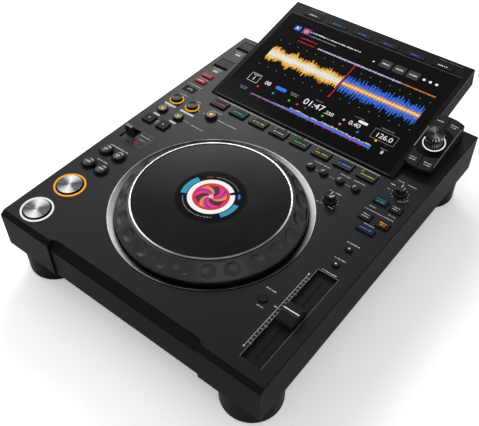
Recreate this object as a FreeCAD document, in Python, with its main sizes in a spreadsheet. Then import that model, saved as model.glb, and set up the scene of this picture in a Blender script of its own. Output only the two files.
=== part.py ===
import FreeCAD
import Part
import Sketcher
import os
import re

# Tabletop DJ media player: case, jog wheel, tilted touch display, controls.
# Millimetres. X runs to the right, Y to the back, Z up from the table.
# The origin is under the middle of the whole object's box.

DRIVING = {
    # case and top panel
    "case_width": 330, "case_depth": 403.4, "case_height": 46.4, "case_wall": 2.5,
    "front_wall": 4.7, "rim_depth": 10.5, "rim_drop": 13,
    "panel_thick": 2, "panel_side": 1, "panel_front": 5.7, "panel_back": 1.7,
    "panel_groove": 0.25, "bevel_drop": 3.4,
    "bay_half": 90, "bay_taper": 10, "bay_step": 4.5, "bay_setback": 2.05, "bay_drop": 10.6,
    # bottom, feet and screws
    "foot_height": 32, "foot_radius": 31, "foot_x": 132.7, "foot_y": 170.5, "foot_edge": 2,
    "plate_thick": 1.5, "plate_gap": 0.3, "cutter_size": 40, "lap": 0.5,
    "post_inset": 4, "post_radius": 4.5, "post_front": -125, "post_middle": -10, "post_back": 110,
    "post_height": 20, "screw_radius": 1.5, "screw_head": 3.2, "screw_head_height": 1.6,
    "screw_length": 12, "screw_gap": 0.1, "stand_radius": 3, "stand_inset": 6,
    # jog wheel
    "jog_y": -65.5, "bezel_outer": 105.5, "bezel_inner": 99.3, "bezel_rise": 0.8,
    "bezel_sink": 1.6, "bezel_body": 103.5, "bezel_depth": 6, "bezel_lip": 1,
    "pan_radius": 106, "pan_depth": 18, "pan_wall": 2, "pan_step": 1,
    "grip_radius": 98, "grip_inner": 78, "grip_low": -3, "grip_side": 2.5, "grip_top": 15.5,
    "grip_shoulder": 84.5, "grip_round": 2.5, "grip_ease": 3, "grip_drop": 0.8,
    "dimple_count": 24, "dimple_radius": 9, "dimple_depth": 1.8,
    "trim_inner": 80.1, "trim_outer": 81.7, "trim_top": 17, "trim_edge": 0.4,
    "ledge_height": 13,
    "plate_radius": 79.8, "plate_top": 16.2, "view_radius": 36,
    "hub_radius": 94, "hub_thick": 3, "hub_wall_radius": 62, "hub_wall": 3,
    "sleeve_radius": 12, "sleeve_low": -15.7, "sleeve_top": 6,
    "spindle_radius": 8, "spindle_bore": 4, "spindle_top": 8, "spindle_foot": 14,
    "shaft_gap": 0.05, "view_glass": 3.2, "view_body": 30,
    # running clearance and control board
    "gap": 0.3, "board_drop": 14, "board_thick": 1.6, "board_post": 3,
    "flange": 1, "flange_thick": 1.2, "stem_radius": 1.8, "travel": 1,
    "board_inset": 3, "board_inner": 107.5, "board_front": -195, "board_back": 81,
    "board_row": 41.5, "board_reset_x": 126, "board_margin": 10.5,
    "stud_inset": 6, "stud_front": 8, "stud_step": 7.5, "stud_side": 4, "stud_row": 5,
    "stud_scan": 15,
    # play and cue
    "transport_x": -138, "play_y": -176, "cue_y": -131.5, "transport_radius": 13.3,
    "transport_rise": 2, "light_inner": 14.9, "light_outer": 17.2, "light_rise": 1,
    # track search and search pairs
    "search_left": -147, "search_right": -128, "track_y": -96, "scan_y": -69.5,
    "search_radius": 6.5, "search_rise": 3,
    # beat jump pair
    "jump_left": -148, "jump_right": -127, "jump_y": 0.5, "jump_side": 13, "jump_rise": 2.5,
    # direction lever
    "lever_x": -146.5, "lever_y": -32.5, "lever_slot_x": 16, "lever_slot_y": 20,
    "lever_width": 10, "lever_thick": 4, "lever_rise": 12, "lever_axis": 6, "lever_barrel": 2.5,
    "lever_plate": 14, "lever_pin": 1.2, "lever_ear": 1.6, "ear_length": 6,
    # loop controls
    "loop_left": -147, "loop_right": -123, "loop_y": 46.5, "loop_radius": 7, "loop_rise": 4,
    "call_left": -147.5, "call_right": -123, "call_y": 22, "call_radius": 5.5, "call_rise": 3,
    "reloop_x": -94, "reloop_radius": 6.5, "reloop_rise": 4,
    # hot cue pads
    "pad_pitch": 28.7, "pad_y": 70.5, "pad_width": 20.6, "pad_depth": 12.6, "pad_rise": 2.2,
    # memory row
    "memory_a": 45, "memory_b": 61.5, "memory_c": 82, "memory_d": 101, "memory_radius": 4.3,
    "memory_rise": 3,
    # knobs
    "knob_rise": 9.5, "knob_radius": 5.4, "knob_waist": 4.6, "knob_skirt": 6.4, "knob_lift": 0.3,
    "touch_x": 89.1, "touch_y": 16.3, "speed_x": 140.6, "speed_y": 68.6, "knob_shaft": 3,
    "knob_neck": 3, "knob_base": 1.5, "bush_radius": 4.5, "bush_flange": 1.5, "bush_slack": 0.1,
    # mode and sync buttons
    "mode_x": 131, "mode_y": 47, "mode_width": 15, "mode_depth": 9,
    "menu_x": 148.5, "menu_y": 46, "menu_width": 13, "menu_depth": 10,
    "sync_x": 129, "sync_y": 20, "sync_width": 13, "sync_depth": 11,
    "master_x": 149, "master_y": 19.5, "master_width": 13, "master_depth": 10,
    "key_x": 138.5, "key_y": 4, "key_width": 19, "key_depth": 8, "mode_rise": 1.8,
    # tempo section
    "tempo_x": 139.5, "range_step": 23.5, "hold_step": 14.75, "tempo_radius": 3.5,
    "tempo_rise": 2, "reset_x": 109.5, "reset_radius": 4, "reset_rise": 1.5,
    "fader_x": 140.5, "fader_front": 18.45, "fader_width": 21, "fader_length": 117.5,
    "fader_sink": 2.8, "fader_slot": 3, "fader_end": 14.75, "fader_body": 16,
    "fader_skin": 1.2, "fader_rail": 12, "slot_room": 12, "well_room": 20,
    "cap_width": 17, "cap_length": 23, "cap_flat": 8, "cap_top": 8.5, "cap_dip": 0.5,
    "cap_low": -2, "cap_side": 2.5, "fader_stem": 1.2, "stem_length": 6,
    "shoe_length": 10, "shoe_thick": 3,
    # media slots with hinged doors
    "media_x": -148, "card_y": 183, "stick_y": 136.5, "media_side": 21, "media_depth": 22,
    "media_wall": 1.5, "door_thick": 1.6, "door_mouth": 6,
    "stop_y": 91.5, "stop_pitch": 13, "stop_width": 14, "stop_depth": 6, "stop_rise": 1.8,
    # display slab, laid out on its own sloping face
    "display_tilt": 12.46, "display_edge_y": 83.4, "display_edge_z": 1.5,
    "display_length": 180.5, "display_thick": 24, "frame_side": 6.6,
    "frame_thick": 2.5, "cover_wall": 2.5, "glass_width": 234.4, "glass_low": 3.5,
    "glass_length": 156, "glass_thick": 2.2, "screen_thick": 5, "screen_lip": 1.5,
    "soft_y": 167.5, "soft_pitch": 36, "soft_width": 26, "soft_depth": 7, "soft_rise": 0.8,
    "soft_travel": 0.6, "window_gap": 0.3,
    # selector wing beside the display
    "wing_lap": 3.3, "wing_width": 33, "wing_centre": 62, "wing_radius": 40,
    "wing_rise": 2, "wing_key_inner": 21.3, "wing_key_thick": 1.3,
    "wing_key_outer": 38.6, "wing_key_side": 1.4, "wing_key_gap": 0.4, "wing_key_rise": 0.6,
    "selector_rise": 16, "selector_top": 10.3, "selector_waist": 8, "selector_shaft": 3,
    "selector_hub": 9.2, "selector_travel": 0.8, "selector_bore": 2, "selector_depth": 9,
    "selector_base": 6, "selector_crown": 3, "selector_edge": 0.8, "selector_cap": 4,
    # boards, power supply and rear sockets
    "main_width": 200, "main_depth": 120, "main_y": -60, "main_rise": 6, "main_thick": 1.6,
    "chip_side": 35, "chip_height": 4, "chip_x": 20, "part_sink": 0.2,
    "sink_width": 60, "sink_depth": 30, "sink_height": 8, "sink_x": -50, "sink_y": 20,
    "supply_width": 90, "supply_depth": 110, "supply_height": 17, "supply_x": -95,
    "supply_y": 120,
    "jack_x": 40, "jack_low": 8, "jack_width": 170, "jack_height": 24, "jack_thick": 2,
    "audio_radius": 4.2, "audio_length": 9, "audio_bore": 1.8, "audio_pitch": 14, "audio_stub": 5,
    "network_step": 10, "host_step": 45,
    "network_width": 16, "network_height": 13.5, "network_depth": 16, "socket_wall": 1.2,
    "host_width": 14, "host_height": 12, "inlet_x": -110, "inlet_width": 30,
    "inlet_height": 23, "inlet_depth": 22, "inlet_wall": 2, "blade_thick": 2,
    "blade_height": 4, "blade_pitch": 7, "blade_short": 4, "blade_back": 3.5,
}

# Sizes that follow from others, each written once as an expression.
DERIVED = {
    "deck": "(foot_height + case_height)",
    "reach": "(display_edge_y + display_length * cos(display_tilt)"
             " + display_thick * sin(display_tilt) - case_depth / 2)",
    "centre": "(0 - reach / 2)",
    "under": "(0 - panel_thick)",
    "board_top": "(0 - board_drop)",
    "floor_top": "(foot_height + plate_thick)",
    "post_x": "(case_width / 2 - case_wall - post_inset)",
    "board_side": "(case_width / 2 - board_inset)",
    "board_right": "(hold_y - board_margin)",
    "board_reset": "(reset_y - board_margin)",
    "fader_y": "(fader_front + fader_length / 2 - case_depth / 2)",
    "fader_run": "(fader_length / 2 - fader_end)",
    "reset_y": "fader_y",
    "hold_y": "(fader_y + fader_length / 2 + hold_step)",
    "range_y": "(hold_y + range_step)",
    "display_width": "(glass_width + 2 * frame_side)",
    "wing_left": "(display_width / 2 - wing_lap)",
    "wing_right": "(wing_left + wing_width)",
}

doc = FreeCAD.newDocument("media_player")
sheet = doc.addObject("Spreadsheet::Sheet", "Dims")
for row, (alias, number) in enumerate(DRIVING.items(), start=1):
    sheet.set("A%d" % row, alias)
    sheet.set("B%d" % row, str(number))
    sheet.setAlias("B%d" % row, alias)
doc.recompute()

NODES = {}
WORD = re.compile(r"[a-z][a-z_]*")


def expression(text):
    """Write a size expression with the spreadsheet's name before each alias."""
    text = str(text)
    while any(word in DERIVED for word in WORD.findall(text)):
        text = WORD.sub(lambda found: DERIVED.get(found.group(), found.group()), text)
    return WORD.sub(
        lambda found: "Dims." + found.group() if found.group() in DRIVING else found.group(), text)


def value(text):
    """The number that a size expression gives."""
    return float(sheet.evalExpression(expression(text)))


def bind(thing, **sizes):
    """Bind properties of an object to size expressions."""
    for name, text in sizes.items():
        thing.setExpression(name, expression(text))
    return thing


def place(thing, x=0, y=0, z=0, angle=None, axis=(1, 0, 0)):
    """Bind an object's position, and its turn about an axis."""
    thing.Placement = FreeCAD.Placement(FreeCAD.Vector(), FreeCAD.Rotation(FreeCAD.Vector(*axis), 10))
    turn = angle if angle is not None else 0
    thing.setExpression("Placement.Rotation.Angle", expression(turn))
    for letter, text in (("x", x), ("y", y), ("z", z)):
        thing.setExpression("Placement.Base." + letter, expression(text))
    return thing


def on_deck(thing, x, y, z=0):
    """Put an object on the top panel, with y counted from the middle of the case."""
    return place(thing, x, "centre + (%s)" % y, "deck + (%s)" % z)


def on_display(thing):
    """Lay an object drawn in the display's own flat frame onto its slope."""
    return place(thing, 0, "centre + display_edge_y", "deck + display_edge_z", "display_tilt")


def box(name, length, width, height, x=0, y=0, z=0, angle=None):
    """A box, centred on x and y, with its base at z."""
    thing = doc.addObject("Part::Box", name)
    bind(thing, Length=length, Width=width, Height=height)
    return place(thing, "(%s) - (%s) / 2" % (x, length), "(%s) - (%s) / 2" % (y, width), z, angle)


def flat_box(name, length, width, height, x, y, z):
    """A box in the display's own frame, centred on x, starting at y and z."""
    thing = doc.addObject("Part::Box", name)
    bind(thing, Length=length, Width=width, Height=height)
    return place(thing, "(%s) - (%s) / 2" % (x, length), y, z)


def cylinder(name, radius, height, x=0, y=0, z=0):
    """An upright cylinder with its base at z."""
    thing = doc.addObject("Part::Cylinder", name)
    bind(thing, Radius=radius, Height=height)
    return place(thing, x, y, z)


def rod(name, radius, length, x, y, z):
    """A cylinder along X, centred on x."""
    thing = doc.addObject("Part::Cylinder", name)
    bind(thing, Radius=radius, Height=length)
    return place(thing, "(%s) - (%s) / 2" % (x, length), y, z, 90, (0, 1, 0))


def post_back(name, radius, length, x, y, z):
    """A cylinder along Y, which starts at y and runs to the back."""
    thing = doc.addObject("Part::Cylinder", name)
    bind(thing, Radius=radius, Height=length)
    return place(thing, x, y, z, -90)


def fuse(name, pieces):
    """Join overlapping pieces into one solid."""
    thing = doc.addObject("Part::MultiFuse", name)
    thing.Shapes = pieces
    thing.Refine = True
    return thing


def group(name, pieces):
    """Keep like pieces that stand apart together in one sub-part."""
    thing = doc.addObject("Part::Compound", name)
    thing.Links = pieces
    return thing


def cut(name, base, tools):
    """Take pieces away from a base."""
    thing = doc.addObject("Part::Cut", name)
    thing.Base = base
    thing.Tool = tools[0] if len(tools) == 1 else fuse(name + "Tools", tools)
    thing.Refine = True
    return thing


def common(name, first, second):
    """Keep what two pieces share."""
    thing = doc.addObject("Part::Common", name)
    thing.Base = first
    thing.Tool = second
    return thing


def outline(body, name, plane, points):
    """A closed sketch of straight lines, each corner bound to two expressions."""
    sketch = body.newObject("Sketcher::SketchObject", name)
    origin = [part for part in body.Origin.OriginFeatures if part.Role == plane][0]
    sketch.AttachmentSupport = [(origin, "")]
    sketch.MapMode = "FlatFace"
    corners = [FreeCAD.Vector(value(x), value(y), 0) for x, y in points]
    for start, end in zip(corners, corners[1:] + corners[:1]):
        sketch.addGeometry(Part.LineSegment(start, end), False)
    count = len(points)
    for index in range(count):
        sketch.addConstraint(Sketcher.Constraint("Coincident", index, 2, (index + 1) % count, 1))
    for index, (x, y) in enumerate(points):
        for kind, text in (("DistanceX", x), ("DistanceY", y)):
            number = value(text)
            spot = sketch.addConstraint(Sketcher.Constraint(kind, -1, 1, index, 1, number))
            sketch.setExpression("Constraints[%d]" % spot, expression(text))
    return sketch


def revolved(name, profile):
    """A turned body from (radius, height) corners."""
    body = doc.addObject("PartDesign::Body", name)
    sketch = outline(body, name + "Profile", "XZ_Plane", profile)
    turn = body.newObject("PartDesign::Revolution", name + "Turn")
    turn.Profile = sketch
    turn.ReferenceAxis = (sketch, ["V_Axis"])
    turn.Angle = 360
    body.Tip = turn
    return body


def padded(name, points, height, plane="XY_Plane"):
    """A body padded from a flat outline."""
    body = doc.addObject("PartDesign::Body", name)
    sketch = outline(body, name + "Outline", plane, points)
    pad = body.newObject("PartDesign::Pad", name + "Pad")
    pad.Profile = sketch
    pad.setExpression("Length", expression(height))
    body.Tip = pad
    return body


def node(label, thing):
    """Name a finished sub-part."""
    thing.Label = label
    NODES[label] = thing
    return thing


# Hollow case and its panel

def panel_outline(grow):
    """The top panel's outline, with the set-back bay in its front edge."""
    side = "case_width / 2 - panel_side + (%s)" % grow
    front = "0 - case_depth / 2 + panel_front - (%s)" % grow
    back = "case_depth / 2 - panel_back + (%s)" % grow
    bay = "%s + bay_step" % front
    return [("0 - (%s)" % side, front), ("0 - bay_half - bay_taper", front), ("0 - bay_half", bay),
            ("bay_half", bay), ("bay_half + bay_taper", front), (side, front), (side, back),
            ("0 - (%s)" % side, back)]


def bevel(name, length, run, drop, inset):
    """A cutter for the sloping edge along the top of the front face."""
    slope = "atan((%s) / (%s))" % (drop, run)
    thing = doc.addObject("Part::Box", name)
    bind(thing, Length=length, Width="cutter_size", Height="cutter_size")
    front = "centre - case_depth / 2 + (%s)" % inset
    return place(thing, "0 - (%s) / 2" % length,
                 "%s - (cutter_size - 1) * cos(%s)" % (front, slope),
                 "deck - (cutter_size - 1) * sin(%s)" % slope, slope)


def make_case():
    shell = box("CaseBlock", "case_width", "case_depth", "case_height", 0, "centre", "foot_height")
    recess = padded("CaseRecess", panel_outline("panel_groove"), "panel_thick + 1")
    on_deck(recess, 0, 0, "0 - panel_thick")
    low_depth = "case_depth - case_wall - front_wall"
    low = box("CaseLow", "case_width - 2 * case_wall", low_depth,
              "case_height - rim_drop + 1", 0, "centre + (front_wall - case_wall) / 2", "foot_height - 1")
    high_depth = "case_depth - case_wall - rim_depth"
    high = box("CaseHigh", "case_width - 2 * case_wall", high_depth, "rim_drop + 2", 0,
               "centre + (rim_depth - case_wall) / 2", "deck - rim_drop - 1")
    end_bevel = bevel("CaseEndBevel", "case_width + 2", "panel_front", "bevel_drop", "panel_front")
    bay_run = "(panel_front + bay_step - bay_setback)"
    bay_length = "2 * (bay_half + bay_taper / 2)"
    bay_bevel = bevel("CaseBayBevel", bay_length, bay_run, "bay_drop", "panel_front + bay_step")
    bay_face = box("CaseBayFace", bay_length, "2 * bay_setback", "case_height + 2", 0,
                   "centre - case_depth / 2", "foot_height - 1")
    back = "centre + case_depth / 2"
    jacks = box("CaseJackWindow", "jack_width", "3 * case_wall", "jack_height", "jack_x", back,
                "foot_height + jack_low")
    inlet = box("CaseInletWindow", "inlet_width", "3 * case_wall", "inlet_height", "inlet_x", back,
                "foot_height + jack_low")
    hollow = cut("CaseHollow", shell, [recess, low, high, end_bevel, bay_bevel, bay_face, jacks, inlet])
    posts = []
    bores = []
    for side, sign in (("Left", "0 - "), ("Right", "")):
        for spot in ("front", "middle", "back"):
            y = "centre + post_%s" % spot
            posts.append(cylinder("Post" + side + spot, "post_radius",
                                  "deck - post_height - floor_top", sign + "post_x", y, "floor_top"))
            bores.append(cylinder("PostBore" + side + spot, "screw_radius + screw_gap",
                                  "screw_length + 1", sign + "post_x", y, "foot_height"))
    node("upper_case", cut("CaseWithBores", fuse("CaseWithPosts", [hollow] + posts), bores))


def make_bottom():
    width = "case_width - 2 * case_wall - 2 * plate_gap"
    depth = "case_depth - case_wall - front_wall - 2 * plate_gap"
    plate = box("BottomBlank", width, depth, "plate_thick", 0,
                "centre + (front_wall - case_wall) / 2", "foot_height")
    stands = []
    for side in ("0 - ", ""):
        for end in ("0 - ", ""):
            label = "Stand%s%s" % ("L" if side else "R", "F" if end else "B")
            stands.append(cylinder(label, "stand_radius", "main_rise + lap",
                                   side + "(main_width / 2 - stand_inset)",
                                   "centre + main_y + (%s(main_depth / 2 - stand_inset))" % end,
                                   "floor_top - lap"))
    holes = []
    screws = []
    for side, sign in (("Left", "0 - "), ("Right", "")):
        for spot in ("front", "middle", "back"):
            y = "centre + post_%s" % spot
            holes.append(cylinder("PlateHole" + side + spot, "screw_radius + 2 * screw_gap",
                                  "plate_thick + 2", sign + "post_x", y, "foot_height - 1"))
            screw = revolved("Screw" + side + spot, [
                ("0", "0 - screw_head_height"), ("screw_head", "0 - screw_head_height"),
                ("screw_head", "0"), ("screw_radius", "0"), ("screw_radius", "screw_length"),
                ("0", "screw_length")])
            screws.append(place(screw, sign + "post_x", y, "foot_height"))
    node("bottom_plate", cut("BottomCut", fuse("BottomFuse", [plate] + stands), holes))
    node("case_screws", group("ScrewGroup", screws))


def make_feet():
    feet = []
    for side, x in (("Left", "0 - foot_x"), ("Right", "foot_x")):
        for end, y in (("Front", "0 - foot_y"), ("Rear", "foot_y")):
            foot = revolved("Foot" + end + side, [
                ("0", "0"), ("foot_radius - foot_edge", "0"), ("foot_radius", "foot_edge"),
                ("foot_radius", "foot_height"), ("0", "foot_height")])
            feet.append(place(foot, x, "centre + (%s)" % y, 0))
    node("feet", group("FeetGroup", feet))


# Buttons that stand in holes of the top panel

def round_button(name, x, y, radius, rise):
    """A push button turned in one piece: cap, retaining flange and stem."""
    body = revolved(name, [
        ("0", "board_top + travel + gap"), ("stem_radius", "board_top + travel + gap"),
        ("stem_radius", "under - gap - flange_thick"),
        ("(%s) + gap + flange" % radius, "under - gap - flange_thick"),
        ("(%s) + gap + flange" % radius, "under - gap"), (radius, "under - gap"),
        (radius, rise), ("0", rise)])
    return on_deck(body, x, y)


def square_button(name, x, y, width, depth, rise):
    """A rectangular push button: cap, retaining flange and stem."""
    cap = box(name + "Cap", width, depth, "(%s) + panel_thick + gap" % rise, x, "centre + (%s)" % y,
              "deck + under - gap")
    flange = box(name + "Flange", "(%s) + 2 * (gap + flange)" % width,
                 "(%s) + 2 * (gap + flange)" % depth, "flange_thick", x, "centre + (%s)" % y,
                 "deck + under - gap - flange_thick")
    stem = cylinder(name + "Stem", "stem_radius", "board_drop - travel - panel_thick - 2 * gap",
                    x, "centre + (%s)" % y, "deck + board_top + travel + gap")
    return fuse(name, [cap, flange, stem])


ROUND = {
    "play_button": [("transport_x", "play_y", "transport_radius", "transport_rise")],
    "cue_button": [("transport_x", "cue_y", "transport_radius", "transport_rise")],
    "track_search_buttons": [(x, "track_y", "search_radius", "search_rise")
                             for x in ("search_left", "search_right")],
    "scan_buttons": [(x, "scan_y", "search_radius", "search_rise")
                     for x in ("search_left", "search_right")],
    "loop_in_button": [("loop_left", "loop_y", "loop_radius", "loop_rise")],
    "loop_out_button": [("loop_right", "loop_y", "loop_radius", "loop_rise")],
    "reloop_button": [("reloop_x", "loop_y", "reloop_radius", "reloop_rise")],
    "loop_size_buttons": [(x, "call_y", "call_radius", "call_rise")
                          for x in ("call_left", "call_right")],
    "memory_buttons": [("memory_" + letter, "loop_y", "memory_radius", "memory_rise")
                       for letter in "abcd"],
    "tempo_buttons": [("tempo_x", "range_y", "tempo_radius", "tempo_rise"),
                      ("tempo_x", "hold_y", "tempo_radius", "tempo_rise"),
                      ("reset_x", "reset_y", "reset_radius", "reset_rise")],
}

SQUARE = {
    "beat_jump_buttons": [(x, "jump_y", "jump_side", "jump_side", "jump_rise")
                          for x in ("jump_left", "jump_right")],
    "mode_buttons": [("mode_x", "mode_y", "mode_width", "mode_depth", "mode_rise"),
                     ("menu_x", "menu_y", "menu_width", "menu_depth", "mode_rise")],
    "sync_buttons": [("sync_x", "sync_y", "sync_width", "sync_depth", "mode_rise"),
                     ("master_x", "master_y", "master_width", "master_depth", "mode_rise"),
                     ("key_x", "key_y", "key_width", "key_depth", "mode_rise")],
    "media_stop_buttons": [("media_x", "stop_y + %d * stop_pitch" % step, "stop_width",
                            "stop_depth", "stop_rise") for step in range(2)],
}
for number in range(8):
    SQUARE["hot_cue_pad_%d" % (number + 1)] = [
        ("pad_pitch * %s" % (number - 3.5), "pad_y", "pad_width", "pad_depth", "pad_rise")]


def make_buttons():
    for maker, table in ((round_button, ROUND), (square_button, SQUARE)):
        for label, spots in table.items():
            name = "".join(word.capitalize() for word in label.split("_"))
            made = [maker("%s%d" % (name, spot), *spots[spot]) for spot in range(len(spots))]
            node(label, made[0] if len(made) == 1 else group(name + "Group", made))


def make_light_rings():
    rings = []
    for name, y in (("PlayLight", "play_y"), ("CueLight", "cue_y")):
        ring = revolved(name, [("light_inner", "0"), ("light_outer", "0"),
                               ("light_outer", "light_rise"), ("light_inner", "light_rise")])
        rings.append(on_deck(ring, "transport_x", y))
    node("transport_light_rings", group("LightRings", rings))


def make_panel():
    blank = padded("PanelBlank", panel_outline("0"), "panel_thick")
    on_deck(blank, 0, 0, "under")
    low = "deck + under - 1"
    tall = "panel_thick + 2"
    holes = [cylinder("JogHole", "bezel_body + gap", tall, 0, "centre + jog_y", low)]
    for label, spots in ROUND.items():
        for spot, (x, y, radius, rise) in enumerate(spots):
            holes.append(cylinder("Hole_%s_%d" % (label, spot), "(%s) + gap" % radius, tall, x,
                                  "centre + (%s)" % y, low))
    for label, spots in SQUARE.items():
        for spot, (x, y, width, depth, rise) in enumerate(spots):
            holes.append(box("Hole_%s_%d" % (label, spot), "(%s) + 2 * gap" % width,
                             "(%s) + 2 * gap" % depth, tall, x, "centre + (%s)" % y, low))
    holes.append(box("LeverHole", "lever_slot_x", "lever_slot_y", tall, "lever_x",
                     "centre + lever_y", low))
    holes.append(box("FaderHole", "fader_width", "fader_length", tall, "fader_x",
                     "centre + fader_y", low))
    for name, x, y in (("TouchHole", "touch_x", "touch_y"), ("SpeedHole", "speed_x", "speed_y")):
        holes.append(cylinder(name, "bush_radius", tall, x, "centre + (%s)" % y, low))
    for name, y in (("CardHole", "card_y"), ("StickHole", "stick_y")):
        holes.append(box(name, "media_side", "media_side", tall, "media_x", "centre + " + y, low))
    slab = flat_box("SlabSpace", "display_width + 2 * window_gap", "display_length",
                    "2 * display_thick", 0, "0 - window_gap", "0 - display_thick - window_gap")
    holes.append(on_display(group("SlabHole", [slab])))
    plate = cut("PanelCut", blank, holes)
    studs = []
    spots = (("0 - board_side + stud_inset", "board_front + stud_front"),
             ("0 - board_side + stud_inset", "board_row - stud_step"),
             ("board_side - stud_side", "board_row - stud_row"),
             ("board_side - stud_side", "board_right + stud_side"),
             ("0", "board_row + stud_row"),
             ("0 - board_inner - stud_row", "scan_y + stud_scan"))
    for index, (x, y) in enumerate(spots):
        studs.append(cylinder("Stud%d" % index, "board_post", "board_drop - panel_thick + lap", x,
                              "centre + (%s)" % y, "deck + board_top"))
    node("top_panel", fuse("PanelFuse", [plate] + studs))


# Jog wheel

def make_jog():
    bezel = revolved("JogBezel", [
        ("bezel_inner", "0 - bezel_depth"), ("bezel_body", "0 - bezel_depth"), ("bezel_body", "0"),
        ("bezel_outer", "0"), ("bezel_outer", "bezel_rise"), ("bezel_outer - bezel_lip", "bezel_rise"),
        ("bezel_inner", "0 - bezel_sink")])
    node("jog_bezel_ring", on_deck(bezel, 0, "jog_y"))
    pan = revolved("JogPan", [
        ("0", "under - pan_depth"), ("pan_radius", "under - pan_depth"),
        ("pan_radius", "under - bezel_depth"),
        ("pan_radius", "under"), ("bezel_body + gap", "under"),
        ("bezel_body + gap", "0 - bezel_depth - gap"),
        ("pan_radius - pan_wall - pan_step", "0 - bezel_depth - gap"),
        ("pan_radius - pan_wall - pan_step", "under - pan_depth + pan_wall"),
        ("0", "under - pan_depth + pan_wall")])
    node("jog_pan", on_deck(pan, 0, "jog_y"))
    floor = "under - pan_depth + pan_wall"
    spindle = revolved("JogSpindle", [
        ("spindle_bore", floor), ("spindle_foot", floor), ("spindle_foot", "sleeve_low - gap"),
        ("spindle_radius", "sleeve_low - gap"), ("spindle_radius", "spindle_top"),
        ("spindle_bore", "spindle_top")])
    node("jog_spindle", on_deck(spindle, 0, "jog_y"))
    bore = "spindle_radius + shaft_gap"
    hub_low = "grip_low - hub_thick"
    hub = revolved("JogHub", [
        (bore, "sleeve_low"), ("sleeve_radius", "sleeve_low"), ("sleeve_radius", hub_low),
        ("hub_radius", hub_low), ("hub_radius", "grip_low"),
        ("hub_wall_radius + hub_wall", "grip_low"), ("hub_wall_radius + hub_wall", "ledge_height"),
        ("hub_wall_radius", "ledge_height"), ("hub_wall_radius", "grip_low"),
        ("sleeve_radius", "grip_low"), ("sleeve_radius", "sleeve_top"), (bore, "sleeve_top")])
    node("jog_hub", on_deck(hub, 0, "jog_y"))
    grip = revolved("JogGrip", [
        ("grip_inner", "grip_low"), ("grip_radius", "grip_low"), ("grip_radius", "grip_side"),
        ("grip_radius - grip_round", "grip_side + grip_ease"),
        ("grip_shoulder", "grip_top - grip_drop"),
        ("trim_outer + gap", "grip_top"), ("trim_outer + gap", "ledge_height"),
        ("grip_inner", "ledge_height")])
    on_deck(grip, 0, "jog_y")
    node("jog_grip_ring", cut("JogGripCut", grip, make_dimples()))
    trim = revolved("JogTrim", [
        ("trim_inner", "ledge_height"), ("trim_outer", "ledge_height"),
        ("trim_outer", "trim_top - trim_edge"), ("trim_outer - trim_edge", "trim_top"),
        ("trim_inner", "trim_top")])
    node("jog_trim_ring", on_deck(trim, 0, "jog_y"))
    top = revolved("JogTop", [
        ("view_radius + gap", "ledge_height"), ("plate_radius", "ledge_height"),
        ("plate_radius", "plate_top"), ("view_radius + gap", "plate_top")])
    node("jog_top_plate", on_deck(top, 0, "jog_y"))
    view = revolved("JogView", [
        ("0", "spindle_top"), ("view_body", "spindle_top"), ("view_body", "plate_top - view_glass"),
        ("view_radius", "plate_top - view_glass"), ("view_radius", "plate_top"), ("0", "plate_top")])
    node("jog_display", on_deck(view, 0, "jog_y"))


def make_dimples():
    """Finger dimples round the sloping side of the jog wheel's grip."""
    slope = ("atan((grip_top - grip_side - grip_ease - grip_drop)"
             " / (grip_radius - grip_round - grip_shoulder))")
    first = doc.addObject("Part::Sphere", "DimpleBall")
    bind(first, Radius="dimple_radius")
    middle = "(grip_side + grip_ease + grip_top - grip_drop) / 2"
    centre_x = "(grip_radius - grip_round + grip_shoulder) / 2"
    rise = "(dimple_radius - dimple_depth)"
    place(first, "%s + %s * sin(%s)" % (centre_x, rise, slope), 0,
          "%s + %s * cos(%s)" % (middle, rise, slope))
    ring = doc.addObject("Part::Feature", "DimpleRing")
    doc.recompute()
    balls = []
    count = int(value("dimple_count"))
    for step in range(count):
        ball = first.Shape.copy()
        ball.rotate(FreeCAD.Vector(), FreeCAD.Vector(0, 0, 1), (step + 0.5) * 360 / count)
        balls.append(ball)
    ring.Shape = Part.makeCompound(balls)
    return [on_deck(ring, 0, "jog_y")]


# Direction lever, knobs and tempo slider

def make_lever():
    x = "lever_x"
    y = "centre + lever_y"
    axis = "deck - lever_axis"
    blade = box("LeverBlade", "lever_width", "lever_thick", "lever_rise + lever_axis", x, y, axis)
    barrel = rod("LeverBarrel", "lever_barrel", "lever_plate", x, y, axis)
    bore = rod("LeverBore", "lever_pin + shaft_gap", "lever_plate + 2", x, y, axis)
    node("direction_lever", cut("LeverCut", fuse("LeverFuse", [blade, barrel]), [bore]))
    pin = rod("LeverPin", "lever_pin", "lever_plate + 2 * gap + 2 * lever_ear", x, y, axis)
    ears = []
    for side, sign in (("Left", "-"), ("Right", "+")):
        ears.append(box("LeverEar" + side, "lever_ear", "ear_length", "board_drop - panel_thick",
                        "lever_x %s (lever_plate / 2 + gap + lever_ear / 2)" % sign, y, "deck + board_top"))
    node("lever_bracket", fuse("LeverBracket", [pin] + ears))


def knob_profile():
    return [("knob_shaft", "board_top + gap"), ("0", "board_top + gap"), ("0", "knob_rise"),
            ("knob_radius", "knob_rise"), ("knob_waist", "knob_lift + knob_neck"),
            ("knob_skirt", "knob_lift + knob_base"), ("knob_skirt", "knob_lift"),
            ("knob_shaft", "knob_lift")]


def make_knobs():
    for label, name, x, y in (("touch_cue_knob", "TouchKnob", "touch_x", "touch_y"),
                              ("speed_knob", "SpeedKnob", "speed_x", "speed_y")):
        node(label, on_deck(revolved(name, knob_profile()), x, y))


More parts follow.
